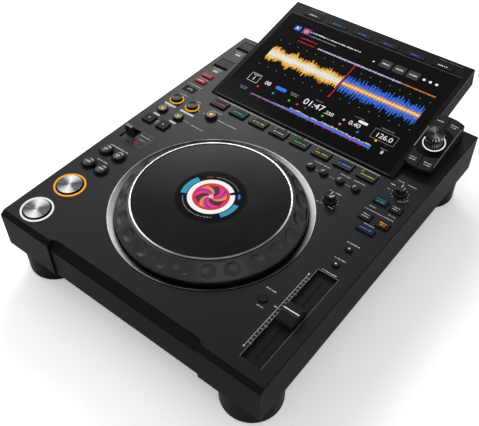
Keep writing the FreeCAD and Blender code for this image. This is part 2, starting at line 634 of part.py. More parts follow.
def make_bushes():
    bushes = []
    for name, x, y in (("TouchBush", "touch_x", "touch_y"), ("SpeedBush", "speed_x", "speed_y")):
        bush = revolved(name, [
            ("knob_shaft + shaft_gap", "board_top"), ("bush_radius + bush_flange", "board_top"),
            ("bush_radius + bush_flange", "under"), ("bush_radius - bush_slack", "under"),
            ("bush_radius - bush_slack", "0"), ("knob_shaft + shaft_gap", "0")])
        bushes.append(on_deck(bush, x, y))
    node("knob_bushes", group("KnobBushes", bushes))


def make_fader():
    x = "fader_x"
    y = "centre + fader_y"
    outer = box("FaderOuter", "fader_width + 2 * fader_skin", "fader_length + 2 * fader_skin",
                "fader_body", x, y, "deck + under - fader_body")
    trough = box("FaderTrough", "fader_width", "fader_length", "fader_sink + 1", x, y,
                 "deck - fader_sink - fader_skin")
    slot = box("FaderSlot", "fader_slot", "2 * fader_run + slot_room", "fader_body", x, y,
               "deck + under - fader_body + fader_skin")
    well = box("FaderWell", "fader_rail + 2 * gap", "2 * fader_run + well_room",
               "fader_body - fader_sink - 2 * fader_skin", x, y, "deck + under - fader_body + fader_skin")
    node("fader_track", cut("FaderCut", outer, [trough, slot, well]))
    half = "cap_length / 2"
    cap = padded("FaderCap", [
        ("0 - (%s)" % half, "cap_low"), (half, "cap_low"), (half, "cap_side"),
        ("cap_flat / 2", "cap_top"), ("0", "cap_top - cap_dip"), ("0 - cap_flat / 2", "cap_top"),
        ("0 - (%s)" % half, "cap_side")], "cap_width", "YZ_Plane")
    on_deck(cap, "fader_x - cap_width / 2", "fader_y")
    stem_low = "deck + under - fader_body + fader_skin + shoe_thick + gap"
    stem = box("FaderStem", "fader_stem", "stem_length", "deck + cap_low + lap - (%s)" % stem_low,
               x, y, stem_low)
    shoe = box("FaderShoe", "fader_rail", "shoe_length", "shoe_thick", x, y,
               "deck + under - fader_body + fader_skin + gap")
    node("tempo_slider", fuse("FaderSlide", [cap, stem, shoe]))


# Media slots at the left, with their hinged doors

def make_media():
    wells = []
    for name, label, y in (("Card", "card_door", "card_y"), ("Stick", "stick_door", "stick_y")):
        outer = box(name + "Outer", "media_side + 2 * media_wall", "media_side + 2 * media_wall",
                    "media_depth", "media_x", "centre + " + y, "deck + under - media_depth")
        inner = box(name + "Inner", "media_side", "media_side", "media_depth", "media_x",
                    "centre + " + y, "deck + under - media_depth + media_wall")
        wells.append(cut(name + "Well", outer, [inner]))
        span = "media_side - 2 * gap"
        length = "media_side - door_mouth - gap"
        hinge_y = "centre + %s + media_side / 2 - gap - door_thick / 2" % y
        hinge_z = "deck - gap - door_thick / 2"
        leaf = box(name + "Leaf", span, "%s - door_thick / 2" % length, "door_thick", "media_x",
                   "%s - (%s - door_thick / 2) / 2" % (hinge_y, length), "deck - gap - door_thick")
        barrel = rod(name + "Barrel", "door_thick / 2", span, "media_x", hinge_y, hinge_z)
        node(label, fuse(name + "Door", [leaf, barrel]))
    node("media_slots", group("MediaWells", wells))


# Display slab

def make_display():
    depth = "display_thick - frame_thick"
    outer = flat_box("CoverOuter", "display_width", "display_length", depth, 0, 0, "0 - display_thick")
    inner = flat_box("CoverInner", "display_width - 2 * cover_wall", "display_length - 2 * cover_wall",
                     depth, 0, "cover_wall", "0 - display_thick + cover_wall")
    node("display_rear_cover", on_display(cut("CoverCut", outer, [inner])))
    plate = flat_box("FramePlate", "display_width", "display_length", "frame_thick", 0, 0,
                     "0 - frame_thick")
    window = flat_box("FrameWindow", "glass_width + 2 * window_gap", "glass_length + 2 * window_gap",
                      "frame_thick + 2", 0, "glass_low - window_gap", "0 - frame_thick - 1")
    keys = []
    key_holes = []
    for step in range(6):
        x = "soft_pitch * %s" % (step - 2.5)
        key_holes.append(flat_box("SoftHole%d" % step, "soft_width + 2 * gap", "soft_depth + 2 * gap",
                                  "frame_thick + 2", x, "soft_y - soft_depth / 2 - gap",
                                  "0 - frame_thick - 1"))
        cap = flat_box("SoftCap%d" % step, "soft_width", "soft_depth", "soft_rise + frame_thick + gap",
                       x, "soft_y - soft_depth / 2", "0 - frame_thick - gap")
        lip = flat_box("SoftLip%d" % step, "soft_width + 2 * (gap + flange)", "soft_depth + 2 * gap",
                       "flange_thick", x, "soft_y - soft_depth / 2 - gap",
                       "0 - frame_thick - gap - flange_thick")
        keys.append(fuse("SoftKey%d" % step, [cap, lip]))
    node("display_front_frame", on_display(cut("FrameCut", plate, [window] + key_holes)))
    node("display_buttons", on_display(group("SoftKeys", keys)))
    glass = flat_box("Glass", "glass_width", "glass_length", "glass_thick", 0, "glass_low",
                     "0 - frame_thick")
    node("display_glass", on_display(group("GlassPane", [glass])))
    screen = flat_box("Screen", "glass_width + 2 * screen_lip", "glass_length + screen_lip",
                      "screen_thick", 0, "glass_low - window_gap", "0 - frame_thick - screen_thick")
    node("display_panel", on_display(group("ScreenModule", [screen])))


# Selector wing to the right of the display

def make_wing():
    middle = "(wing_left + wing_right) / 2"
    width = "wing_right - wing_left"
    deep = "display_thick + wing_rise"
    strip = flat_box("WingStrip", width, "2 * wing_radius", deep, middle, "wing_centre - wing_radius",
                     "0 - display_thick")
    drum = cylinder("WingDrum", "wing_radius", deep, middle, "wing_centre", "0 - display_thick")
    solid = common("WingSolid", strip, drum)
    slab = flat_box("WingSlab", "display_width", "display_length", "display_thick", 0, 0,
                    "0 - display_thick")
    block = on_display(cut("WingTrim", solid, [slab]))
    below = box("WingBelow", "case_width", "case_depth", "case_height", 0, "centre", "foot_height")
    bores = [cylinder("WingBore", "selector_shaft + shaft_gap", deep, middle, "wing_centre",
                      "0 - selector_depth - selector_travel - gap")]
    keys = []
    for side, sign in (("Left", "-"), ("Right", "+")):
        for end in ("Near", "Far"):
            for kind, slack in (("Key", "0"), ("Pocket", "gap")):
                thick = "wing_key_thick + " + ("0" if kind == "Key" else "soft_travel + gap")
                half = "(%s) / 2 - wing_key_side - wing_key_gap + 2 * (%s)" % (width, slack)
                low = "wing_centre - wing_radius" if end == "Near" else "wing_centre"
                spot = "%s %s (wing_key_gap + (%s) / 2 - (%s))" % (middle, sign, half, slack)
                rise = "wing_rise - (%s)" % thick
                top = "wing_key_rise + %s" % thick
                bar = flat_box("Wing%s%s%sBar" % (kind, side, end), half, "wing_radius", top, spot,
                               low, rise)
                outer = cylinder("Wing%s%s%sOut" % (kind, side, end), "wing_key_outer + %s" % slack, top,
                                 middle, "wing_centre", rise)
                inner = cylinder("Wing%s%s%sIn" % (kind, side, end), "wing_key_inner - %s" % slack,
                                 "2 * (%s) + 2" % top, middle, "wing_centre", "%s - 1" % rise)
                ring = cut("Wing%s%s%sRing" % (kind, side, end), outer, [inner])
                sector = common("Wing%s%s%s" % (kind, side, end), bar, ring)
                (keys if kind == "Key" else bores).append(sector)
    tools = on_display(group("WingBores", bores))
    node("selector_housing", cut("WingHousing", block, [below, tools]))
    node("selector_keys", on_display(group("WingKeys", keys)))
    skirt = "wing_rise + selector_travel + gap"
    crown = "wing_rise + selector_rise"
    knob = revolved("Selector", [
        ("selector_bore + shaft_gap", skirt), ("selector_hub", skirt),
        ("selector_waist", "wing_rise + selector_base"), ("selector_top", crown + " - selector_crown"),
        ("selector_top - selector_edge", crown), ("0", crown), ("0", crown + " - selector_cap"),
        ("selector_bore + shaft_gap", crown + " - selector_cap")])
    shaft = revolved("SelectorShaft", [
        ("0", "0 - selector_depth"), ("selector_shaft", "0 - selector_depth"),
        ("selector_shaft", skirt + " - gap"), ("selector_bore", skirt + " - gap"),
        ("selector_bore", crown + " - selector_cap - gap"), ("0", crown + " - selector_cap - gap")])
    spot_y = "centre + display_edge_y + wing_centre * cos(display_tilt)"
    spot_z = "deck + display_edge_z + wing_centre * sin(display_tilt)"
    node("rotary_selector", place(knob, middle, spot_y, spot_z, "display_tilt"))
    node("selector_shaft", place(shaft, middle, spot_y, spot_z, "display_tilt"))


# Boards, power supply and rear sockets

def make_boards():
    thick = "board_thick"
    low = "deck + board_top - board_thick"
    pieces = []
    for name, x_low, x_high, y_low, y_high in (
            ("Row", "0 - board_side", "board_side", "board_row", "board_back"),
            ("Left", "0 - board_side", "0 - board_inner", "board_front", "board_row + 1"),
            ("Right", "board_inner", "board_side", "board_right", "board_row + 1"),
            ("Reset", "board_inner", "board_reset_x - gap", "board_reset", "board_right + 1")):
        pieces.append(box("Board" + name, "(%s) - (%s)" % (x_high, x_low), "(%s) - (%s)" % (y_high, y_low),
                          thick, "((%s) + (%s)) / 2" % (x_high, x_low),
                          "centre + ((%s) + (%s)) / 2" % (y_high, y_low), low))
    node("control_board", fuse("ControlBoard", pieces))
    top = "floor_top + main_rise"
    board = box("MainSheet", "main_width", "main_depth", "main_thick", 0, "centre + main_y", top)
    on_board = "%s + main_thick - part_sink" % top
    chip = box("MainChip", "chip_side", "chip_side", "chip_height", "chip_x", "centre + main_y", on_board)
    sink = box("MainSink", "sink_width", "sink_depth", "sink_height", "sink_x",
               "centre + main_y + sink_y", on_board)
    node("main_board", fuse("MainBoard", [board, chip, sink]))
    node("power_supply", box("PowerSupply", "supply_width", "supply_depth", "supply_height", "supply_x",
                             "centre + supply_y", "floor_top"))


def make_sockets():
    back = "centre + case_depth / 2"
    low = "foot_height + jack_low"
    middle = "%s + jack_height / 2" % low
    plate = box("JackPlate", "jack_width - 2 * gap", "jack_thick", "jack_height - 2 * gap", "jack_x",
                "%s - jack_thick / 2" % back, "%s + gap" % low)
    solids = [plate]
    holes = []
    for index in range(3):
        x = "jack_x - jack_width / 2 + %d * audio_pitch" % (index + 1)
        solids.append(post_back("Audio%d" % index, "audio_radius", "jack_thick + audio_stub", x,
                                "%s - jack_thick - audio_stub + lap" % back, middle))
        holes.append(post_back("AudioBore%d" % index, "audio_bore", "audio_length", x,
                               "%s - audio_length + jack_thick" % back, middle))
    for name, x, width, height in (("Network", "jack_x + network_step", "network_width", "network_height"),
                                   ("Host", "jack_x + host_step", "host_width", "host_height")):
        solids.append(box(name + "Shell", "%s + 2 * socket_wall" % width, "network_depth",
                          "%s + 2 * socket_wall" % height, x, "%s - network_depth / 2" % back,
                          "%s - (%s) / 2 - socket_wall" % (middle, height)))
        holes.append(box(name + "Hollow", width, "network_depth", height, x,
                         "%s - network_depth / 2 + socket_wall" % back, "%s - (%s) / 2" % (middle, height)))
    node("rear_jack_plate", cut("JackCut", fuse("JackFuse", solids), holes))
    outer = box("InletOuter", "inlet_width - 2 * gap", "inlet_depth", "inlet_height - 2 * gap", "inlet_x",
                "%s - inlet_depth / 2" % back, "%s + gap" % low)
    hollow = box("InletHollow", "inlet_width - 2 * gap - 2 * inlet_wall", "inlet_depth",
                 "inlet_height - 2 * gap - 2 * inlet_wall", "inlet_x",
                 "%s - inlet_depth / 2 + inlet_wall" % back, "%s + gap + inlet_wall" % low)
    blades = [box("Blade%d" % step, "blade_thick", "inlet_depth - blade_short", "blade_height",
                  "inlet_x + %d * blade_pitch" % (step - 1),
                  "%s - blade_back - (inlet_depth - blade_short) / 2" % back,
                  "%s - blade_height / 2" % middle) for step in range(3)]
    node("ac_inlet", fuse("InletFuse", [cut("InletCut", outer, [hollow])] + blades))


make_case()
make_bottom()
make_feet()
make_buttons()
make_light_rings()
make_panel()
make_jog()
make_lever()
make_knobs()
make_bushes()
make_fader()
make_media()
make_display()
make_wing()
make_boards()
make_sockets()
doc.recompute()

for thing in doc.Objects:
    if "Invalid" in thing.State or "Error" in thing.State:
        raise SystemExit("failed object: %s %s" % (thing.Name, thing.State))
if len(NODES) > 60:
    raise SystemExit("too many sub-parts: %d" % len(NODES))
for label, thing in NODES.items():
    if thing.Shape.isNull() or not thing.Shape.isValid():
        raise SystemExit("bad shape: " + label)

os.makedirs("parts", exist_ok=True)
whole = FreeCAD.BoundBox()
for label, thing in NODES.items():
    thing.Shape.exportStep("parts/%s.step" % label)
    whole.add(thing.Shape.BoundBox)
    print("%-26s solids %2d  volume %10.1f" % (label, len(thing.Shape.Solids), thing.Shape.Volume))
print("nodes", len(NODES), "box", whole)
print("deck", value("deck"), "centre", value("centre"))
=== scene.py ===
import math
import random

import bmesh
import bpy
from mathutils import Matrix, Vector


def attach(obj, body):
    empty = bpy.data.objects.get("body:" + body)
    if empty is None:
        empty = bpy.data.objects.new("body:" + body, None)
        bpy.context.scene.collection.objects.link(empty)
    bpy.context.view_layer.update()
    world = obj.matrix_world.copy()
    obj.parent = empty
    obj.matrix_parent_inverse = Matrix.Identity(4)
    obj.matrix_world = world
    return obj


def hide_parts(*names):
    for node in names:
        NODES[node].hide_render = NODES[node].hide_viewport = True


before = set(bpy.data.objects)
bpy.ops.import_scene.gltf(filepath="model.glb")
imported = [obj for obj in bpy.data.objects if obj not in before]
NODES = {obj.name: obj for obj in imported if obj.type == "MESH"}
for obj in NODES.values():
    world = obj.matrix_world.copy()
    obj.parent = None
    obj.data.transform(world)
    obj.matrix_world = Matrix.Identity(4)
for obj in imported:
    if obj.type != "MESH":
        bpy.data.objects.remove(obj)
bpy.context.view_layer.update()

MM = 0.001

# The row frame has its origin under the middle of the whole object. The points that the dressing
# uses are measured from the middle of the case at the height of the deck, in millimetres.
CENTRE = -31.5634
DECK = 78.4
TILT = math.radians(12.46)
DISPLAY_ROW = 83.4
DISPLAY_RISE = 1.5
CHASSIS = "chassis"

# Where the larger controls stand, and how far apart the ones in a row are, in millimetres.
JOG = (0.0, -65.5, 0.0)
PLAY = (-138.0, -176.0)
CUE = (-138.0, -131.5)
LEVER = (-146.5, -32.5)
SLIDER = (140.5, -124.5)
TOUCH_KNOB = (89.1, 16.3)
SPEED_KNOB = (140.6, 68.6)
SELECTOR = (137.0, 62.0)
BUTTON_ROW = 46.5
PAD_ROW, PAD_PITCH = 70.5, 28.7
KEY_ROW, KEY_PITCH = 167.5, 36.0
WELL_FLOOR = -4.0
CASE_BACK = 201.7


def deck_frame(x=0.0, y=0.0, z=0.0):
    """A frame flat on the deck: x to the right, y to the back, z up."""
    return Matrix.Translation(Vector((x, y + CENTRE, z + DECK)) * MM)


def display_frame(u=0.0, v=0.0, n=0.0):
    """A frame on the sloping display: x to the right, y up the slope, z out of the glass."""
    origin = Matrix.Translation(Vector((0.0, CENTRE + DISPLAY_ROW, DECK + DISPLAY_RISE)) * MM)
    return origin @ Matrix.Rotation(TILT, 4, "X") @ Matrix.Translation(Vector((u, v, n)) * MM)


# ---- materials

class Graph:
    """A short way to write one material's nodes."""

    def __init__(self, name):
        self.material = bpy.data.materials.new(name)
        self.material.use_nodes = True
        self.tree = self.material.node_tree
        self.shader = self.tree.nodes["Principled BSDF"]
        self.coords = self.tree.nodes.new("ShaderNodeTexCoord")

    def node(self, kind, **inputs):
        made = self.tree.nodes.new(kind)
        for key, wanted in inputs.items():
            self.feed(made.inputs[key.replace("_", " ")], wanted)
        return made

    def feed(self, socket, wanted):
        if isinstance(wanted, bpy.types.NodeSocket):
            self.tree.links.new(wanted, socket)
        elif hasattr(socket.default_value, "__len__") and len(socket.default_value) == 4:
            socket.default_value = (*wanted[:3], 1.0)
        else:
            socket.default_value = wanted

    def place(self, stretch=(1.0, 1.0, 1.0)):
        if stretch == (1.0, 1.0, 1.0):
            return self.coords.outputs["Object"]
        return self.node("ShaderNodeMapping", Vector=self.coords.outputs["Object"],
                         Scale=stretch).outputs["Vector"]

    def noise(self, per_metre, detail=3.0, rough=0.55, stretch=(1.0, 1.0, 1.0)):
        return self.node("ShaderNodeTexNoise", Vector=self.place(stretch), Scale=per_metre,
                         Detail=detail, Roughness=rough).outputs["Fac"]

    def ramp(self, factor, low, high, start=0.3, end=0.7):
        made = self.node("ShaderNodeValToRGB", Fac=factor)
        for stop, at, colour in zip(made.color_ramp.elements, (start, end), (low, high)):
            stop.position = at
            stop.color = (*colour, 1.0)
        return made.outputs["Color"]

    def span(self, factor, low, high):
        return self.node("ShaderNodeMapRange", Value=factor, From_Min=0.3, From_Max=0.7,
                         To_Min=low, To_Max=high).outputs["Result"]

    def maths(self, work, a, b=None):
        made = self.tree.nodes.new("ShaderNodeMath")
        made.operation = work
        for socket, wanted in zip(made.inputs, (a, b)):
            if wanted is not None:
                self.feed(socket, wanted)
        return made.outputs["Value"]

    def bump(self, height, depth_mm):
        made = self.node("ShaderNodeBump", Height=height, Distance=depth_mm * MM)
        self.tree.links.new(made.outputs["Normal"], self.shader.inputs["Normal"])

    def blend(self, one, share, two, other):
        """Two patterns added, each with its own share."""
        return self.maths("ADD", self.maths("MULTIPLY", one, share),
                          self.maths("MULTIPLY", two, other))

    def surface(self, factor, low, high, rough, start=0.3, end=0.7):
        """A colour and a roughness that both follow one pattern."""
        self.feed(self.shader.inputs["Base Color"], self.ramp(factor, low, high, start, end))
        self.feed(self.shader.inputs["Roughness"], self.span(factor, *rough))


def grey(level, blue=None):
    """A grey, or one whose blue has its own level."""
    return (level, level, level if blue is None else blue)


def moulded(name, low, high, rough=(0.45, 0.6), grain=900.0, depth=0.02, cloud=9.0,
            specular=0.03):
    """Moulded plastic or paint: slow changes of tone, a fine grain, and a roughness that varies."""
    g = Graph(name)
    slow = g.noise(cloud, 2.0)
    fine = g.noise(grain, 2.0, 0.6)
    g.surface(g.blend(slow, 0.55, fine, 0.45), low, high, rough, 0.35, 0.65)
    g.shader.inputs["Specular IOR Level"].default_value = specular
    g.bump(fine, depth)
    return g.material


def brushed(name, low, high, rough=(0.25, 0.4), stretch=(1.0, 1.0, 1.0)):
    """Brushed metal with fine lines across the stretched direction."""
    g = Graph(name)
    lines = g.noise(2500.0, 2.0, 0.7, stretch)
    slow = g.noise(30.0, 2.0)
    g.surface(g.blend(lines, 0.6, slow, 0.4), low, high, rough, 0.35, 0.65)
    g.shader.inputs["Metallic"].default_value = 1.0
    g.bump(lines, 0.01)
    return g.material


def turned(name, centre, low, high, rough, lines_per_mm, anisotropy=0.0, highlight_at=230.0):
    """Metal turned on a lathe about a point: fine rings, and painted highlight streaks in two
    lobes.
    """
    g = Graph(name)
    middle = deck_frame(*centre).translation
    moved = g.node("ShaderNodeVectorMath", Vector=g.coords.outputs["Object"])
    moved.operation = "SUBTRACT"
    moved.inputs[1].default_value = middle
    parts = g.node("ShaderNodeSeparateXYZ", Vector=moved.outputs["Vector"])
    x, y = parts.outputs["X"], parts.outputs["Y"]
    radius = g.maths("SQRT", g.maths("ADD", g.maths("MULTIPLY", x, x), g.maths("MULTIPLY", y, y)))
    angle = g.maths("ARCTAN2", y, x)
    rings = g.node("ShaderNodeTexNoise", Scale=lines_per_mm * 1000.0, Detail=2.0)
    rings.noise_dimensions = "1D"
    g.feed(rings.inputs["W"], radius)
    # Painted highlight: tone that streaks round the middle, and two lighter lobes at the given
    # angle and opposite it.
    highlight_streaks = g.node("ShaderNodeTexNoise", Scale=3.4, Detail=3.0)
    highlight_streaks.noise_dimensions = "1D"
    g.feed(highlight_streaks.inputs["W"], angle)
    highlight_lobes = g.maths("COSINE", g.maths("SUBTRACT", angle, math.radians(highlight_at)))
    highlight_lobes = g.maths("MULTIPLY", highlight_lobes, highlight_lobes)
    highlight_lobes = g.maths("MULTIPLY", highlight_lobes, highlight_lobes)
    fine = g.blend(rings.outputs["Fac"], 0.2, highlight_streaks.outputs["Fac"], 0.25)
    mixed = g.maths("ADD", fine, g.maths("MULTIPLY", highlight_lobes, 0.55))
    g.surface(mixed, low, high, rough, 0.2, 0.85)
    g.shader.inputs["Metallic"].default_value = 1.0
    g.shader.inputs["Anisotropic"].default_value = anisotropy
    if anisotropy:
        along = g.tree.nodes.new("ShaderNodeTangent")
        along.direction_type = "RADIAL"
        along.axis = "Z"
        g.tree.links.new(along.outputs["Tangent"], g.shader.inputs["Tangent"])
    g.bump(rings.outputs["Fac"], 0.012)
    return g.material


def lit(name, colour, strength, base=None, rough=0.35):
    """A lit lens or lit print: it glows a little unevenly, as a lamp behind plastic does."""
    g = Graph(name)
    fine = g.noise(700.0, 2.0)
    shown = g.ramp(fine, tuple(c * 0.72 for c in colour), colour, 0.25, 0.6)
    g.feed(g.shader.inputs["Emission Color"], shown)
    g.shader.inputs["Emission Strength"].default_value = strength
    under = base or tuple(c * 0.08 for c in colour)
    g.shader.inputs["Specular IOR Level"].default_value = 0.05
    g.surface(fine, tuple(c * 0.8 for c in under), under, (rough * 0.8, rough * 1.2))
    return g.material


def glossy(name, low, high, rough=(0.06, 0.12), smudge=14.0, specular=0.12):
    """Glossy plastic or glass with faint smudges that show only in its reflections."""
    g = Graph(name)
    slow = g.noise(smudge, 4.0, 0.6)
    fine = g.noise(420.0, 2.0)
    g.surface(g.blend(slow, 0.7, fine, 0.3), low, high, rough)
    g.shader.inputs["Specular IOR Level"].default_value = specular
    g.bump(slow, 0.01)
    return g.material


DECK_PAINT = moulded("deck_paint", grey(0.0055, 0.0072), grey(0.0090, 0.0112), (0.34, 0.44),
                     grain=1400.0, depth=0.012, cloud=7.0, specular=0.07)
SHELL = moulded("shell_plastic", grey(0.0038, 0.0042), grey(0.0072, 0.0080), (0.42, 0.58),
                grain=1100.0, depth=0.03, cloud=8.0)
STEEL_BLACK = moulded("painted_steel", grey(0.008, 0.009), grey(0.015, 0.016), (0.4, 0.6),
                      grain=700.0, depth=0.03)
RUBBER = moulded("foot_rubber", grey(0.003, 0.0032), grey(0.006, 0.0065), (0.38, 0.55),
                 grain=500.0, depth=0.02, cloud=25.0)
GRIP = moulded("grip_rubber", grey(0.004, 0.0045), grey(0.009, 0.010), (0.22, 0.36),
               grain=650.0, depth=0.012, cloud=20.0, specular=0.32)
# Painted shade: a darker, less shiny copy of the grip rubber for the faces deep in the finger
# dimples.
GRIP_DIMPLE_SHADE = moulded("grip_dimple_shade", grey(0.0008, 0.0009), grey(0.0018, 0.0020),
                   (0.3, 0.42), grain=650.0, depth=0.012, cloud=20.0, specular=0.01)
HUB = moulded("hub_plastic", grey(0.03, 0.032), grey(0.05, 0.052), (0.45, 0.6))
BUTTON = moulded("button_black", grey(0.008, 0.009), grey(0.017, 0.019), (0.22, 0.36),
                 grain=500.0, depth=0.01, cloud=60.0)
PAD = moulded("pad_rubber", grey(0.009, 0.010), grey(0.017, 0.0185), (0.35, 0.5),
              grain=900.0, depth=0.02, cloud=60.0)
KNOB = moulded("knob_plastic", grey(0.009, 0.010), grey(0.020, 0.022), (0.25, 0.42),
               grain=400.0, depth=0.02, cloud=60.0)
SLATE = moulded("socket_plastic", grey(0.006, 0.007), grey(0.013, 0.0145), (0.35, 0.5))
BOARD = moulded("circuit_board", (0.008, 0.07, 0.03), (0.016, 0.12, 0.05), (0.4, 0.55),
                grain=300.0, depth=0.05, cloud=40.0)
SUPPLY = brushed("supply_case", grey(0.45), grey(0.62), (0.3, 0.5), (1.0, 12.0, 1.0))
SCREW = brushed("screw_steel", grey(0.30), grey(0.48), (0.25, 0.45))
STEEL = brushed("shaft_steel", grey(0.42), grey(0.62), (0.2, 0.35), (1.0, 1.0, 10.0))
# The trim ring and the bezel carry the painted highlight of turned metal, in lobes about 230
# degrees.
TRIM = turned("trim_metal", JOG, grey(0.10), grey(0.90), (0.12, 0.2), 2.0)
BEZEL = turned("bezel_silver", JOG, grey(0.010), grey(0.30), (0.26, 0.42), 2.2)
GLOSS = glossy("jog_gloss", grey(0.0025), grey(0.0045, 0.005), (0.17, 0.25),
               specular=0.05)
GLASS = glossy("screen_glass", grey(0.0015), grey(0.003, 0.0032), (0.10, 0.16),
               specular=0.04)
MODULE = moulded("screen_module", grey(0.02, 0.022), grey(0.04, 0.044), (0.35, 0.5))
WING_GLOSS = glossy("wing_gloss", grey(0.003, 0.0035), grey(0.007, 0.008), (0.12, 0.22),
                    specular=0.2)
FRAME_PLASTIC = moulded("frame_plastic", grey(0.0050, 0.0055), grey(0.0095, 0.0105),
                        (0.28, 0.42), grain=700.0, depth=0.015)
KEY = moulded("key_plastic", grey(0.008, 0.009), grey(0.017, 0.019), (0.28, 0.42),
              grain=500.0, depth=0.01, cloud=60.0)
# The play and cue caps: real anisotropic shine, plus the painted highlight of turned metal in lobes
# about 113 degrees.
PLAY_METAL = turned("play_metal", (*PLAY, 0.0), grey(0.02), grey(0.38), (0.22, 0.36), 3.0,
                    anisotropy=0.6, highlight_at=113.0)
CUE_METAL = turned("cue_metal", (*CUE, 0.0), grey(0.02), grey(0.38), (0.22, 0.36), 3.0,
                   anisotropy=0.6, highlight_at=113.0)
# The selector knob's metal: the painted highlight of turned metal in lobes about 128.6 degrees,
# about the knob's own origin.
SELECTOR_METAL = turned("selector_metal", (0.0, -CENTRE, -DECK), grey(0.02), grey(0.5),
                        (0.2, 0.32), 3.0, highlight_at=128.6)
RED_CAP = lit("stop_red", (0.9, 0.02, 0.03), 0.12, base=(0.20, 0.008, 0.012))
WHITE_LIT = lit("lit_white", (1.0, 1.0, 1.0), 0.85, base=grey(0.1))
AMBER_LIT = lit("lit_amber", (1.0, 0.42, 0.03), 0.85, base=(0.2, 0.09, 0.01))
YELLOW_LIT = lit("lit_yellow", (0.95, 0.52, 0.02), 0.8, base=(0.2, 0.12, 0.01))
PRINT = moulded("white_print", grey(0.42), grey(0.62), (0.4, 0.55), grain=1500.0, depth=0.003)
DIM_PRINT = moulded("grey_print", grey(0.12), grey(0.20), (0.4, 0.55), grain=1500.0, depth=0.003)
BLACK_PRINT = moulded("black_print", grey(0.004), grey(0.008), (0.5, 0.6), grain=900.0,
                      depth=0.003)
GLOSS_CAP = glossy("gloss_cap", grey(0.006, 0.007), grey(0.012, 0.013), (0.10, 0.18), 60.0,
                   specular=0.2)
CUP_BLACK = glossy("cup_black", grey(0.0015, 0.0016), grey(0.003, 0.0032), (0.2, 0.3),
                   60.0, specular=0.06)
SAGE = moulded("sage_print", (0.05, 0.065, 0.055), (0.075, 0.09, 0.08), (0.45, 0.6), grain=900.0)
GREEN_PRINT = moulded("green_print", (0.16, 0.38, 0.22), (0.24, 0.5, 0.3), (0.4, 0.55))
LEVER_TOP = moulded("lever_top_grey", grey(0.24), grey(0.34), (0.35, 0.5), grain=500.0)
RIB_GREY = moulded("rib_grey", grey(0.016), grey(0.035), (0.3, 0.45), grain=400.0)
# Painted highlight: a light grey for thin lines where an edge catches the light.
EDGE_HIGHLIGHT = moulded("edge_highlight", grey(0.35), grey(0.5), (0.3, 0.45), grain=900.0)
DIM_RED = lit("lit_dim_red", (0.30, 0.02, 0.03), 0.7)
RED_LIT = lit("lit_red", (0.85, 0.02, 0.04), 0.8)
GREEN_LIT = lit("lit_green", (0.04, 0.66, 0.12), 0.8)
BLUE_LIT = lit("lit_blue", (0.04, 0.18, 0.88), 0.9)
CYAN_LIT = lit("lit_cyan", (0.03, 0.34, 0.55), 0.8)
ORANGE = lit("lit_orange", (0.95, 0.30, 0.03), 0.8)
CREAM_LIT = lit("lit_cream", (1.0, 0.80, 0.36), 0.9)
LILAC_LIT = lit("lit_lilac", (0.62, 0.60, 0.95), 0.8)
GREY_LIT = lit("lit_grey", grey(0.42, 0.44), 0.6)
UI_GREY = lit("lit_dark_grey", grey(0.06, 0.065), 0.6)
MAGENTA = lit("lit_magenta", (0.90, 0.03, 0.28), 0.8)
VIOLET = lit("lit_violet", (0.16, 0.04, 0.50), 0.7)
PLUM = lit("lit_plum", (0.12, 0.01, 0.06), 0.6)
PALE_PINK = lit("lit_pink", (0.95, 0.55, 0.62), 0.8)
WHITE_SHELL = moulded("white_shell", grey(0.62), grey(0.75), (0.3, 0.45))
RED_SHELL = moulded("red_shell", (0.45, 0.02, 0.02), (0.6, 0.03, 0.03), (0.3, 0.45))
ORANGE_SHELL = moulded("orange_shell", (0.65, 0.22, 0.02), (0.8, 0.3, 0.03), (0.3, 0.45))

PAINTED = (
    (DECK_PAINT, "top_panel"), (SHELL, "upper_case display_rear_cover"),
    (STEEL_BLACK, "bottom_plate rear_jack_plate"), (SCREW, "case_screws lever_bracket"),
    (RUBBER, "feet"), (BEZEL, "jog_bezel_ring"), (HUB, "jog_hub"), (GRIP, "jog_grip_ring"),
    (TRIM, "jog_trim_ring"), (GLOSS, "jog_top_plate"), (GLASS, "jog_display display_glass"),
    (SLATE, "jog_pan knob_bushes fader_track media_slots ac_inlet"),
    (STEEL, "jog_spindle selector_shaft"), (BOARD, "control_board main_board"),
    (FRAME_PLASTIC, "display_front_frame selector_housing"), (SUPPLY, "power_supply"),
    (MODULE, "display_panel card_door stick_door"), (PLAY_METAL, "play_button"),
    (CUE_METAL, "cue_button"), (WHITE_LIT, "transport_light_rings"),
    (BUTTON, "track_search_buttons scan_buttons loop_in_button loop_out_button"),
    (BUTTON, "reloop_button loop_size_buttons memory_buttons"),
    (KEY, "tempo_buttons display_buttons"), (PAD, "beat_jump_buttons mode_buttons sync_buttons"),
    (RED_CAP, "media_stop_buttons"), (WING_GLOSS, "selector_keys"),
    (SELECTOR_METAL, "rotary_selector"),
    (KNOB, "touch_cue_knob speed_knob direction_lever tempo_slider"),
    (PAD, " ".join(f"hot_cue_pad_{number}" for number in range(1, 9))),
)
PAINTS = {node: material for material, nodes in PAINTED for node in nodes.split()}

# How far each node's edges are softened, in millimetres.
SOFT_EDGES = {
    "upper_case": 1.6, "display_rear_cover": 1.2, "feet": 0.8, "display_front_frame": 0.5,
    "jog_grip_ring": 0.5, "play_button": 0.4, "cue_button": 0.4, "rotary_selector": 0.35,
    "direction_lever": 0.5, "tempo_slider": 0.4, "selector_housing": 0.4, "speed_knob": 0.3,
    "touch_cue_knob": 0.3,
}
DEFAULT_EDGE = 0.2


def smooth_by_angle(obj, degrees=32.0):
    """Smooth shading with sharp edges kept."""
    mesh = obj.data
    mesh.shade_smooth()
    mesh.set_sharp_from_angle(angle=math.radians(degrees))


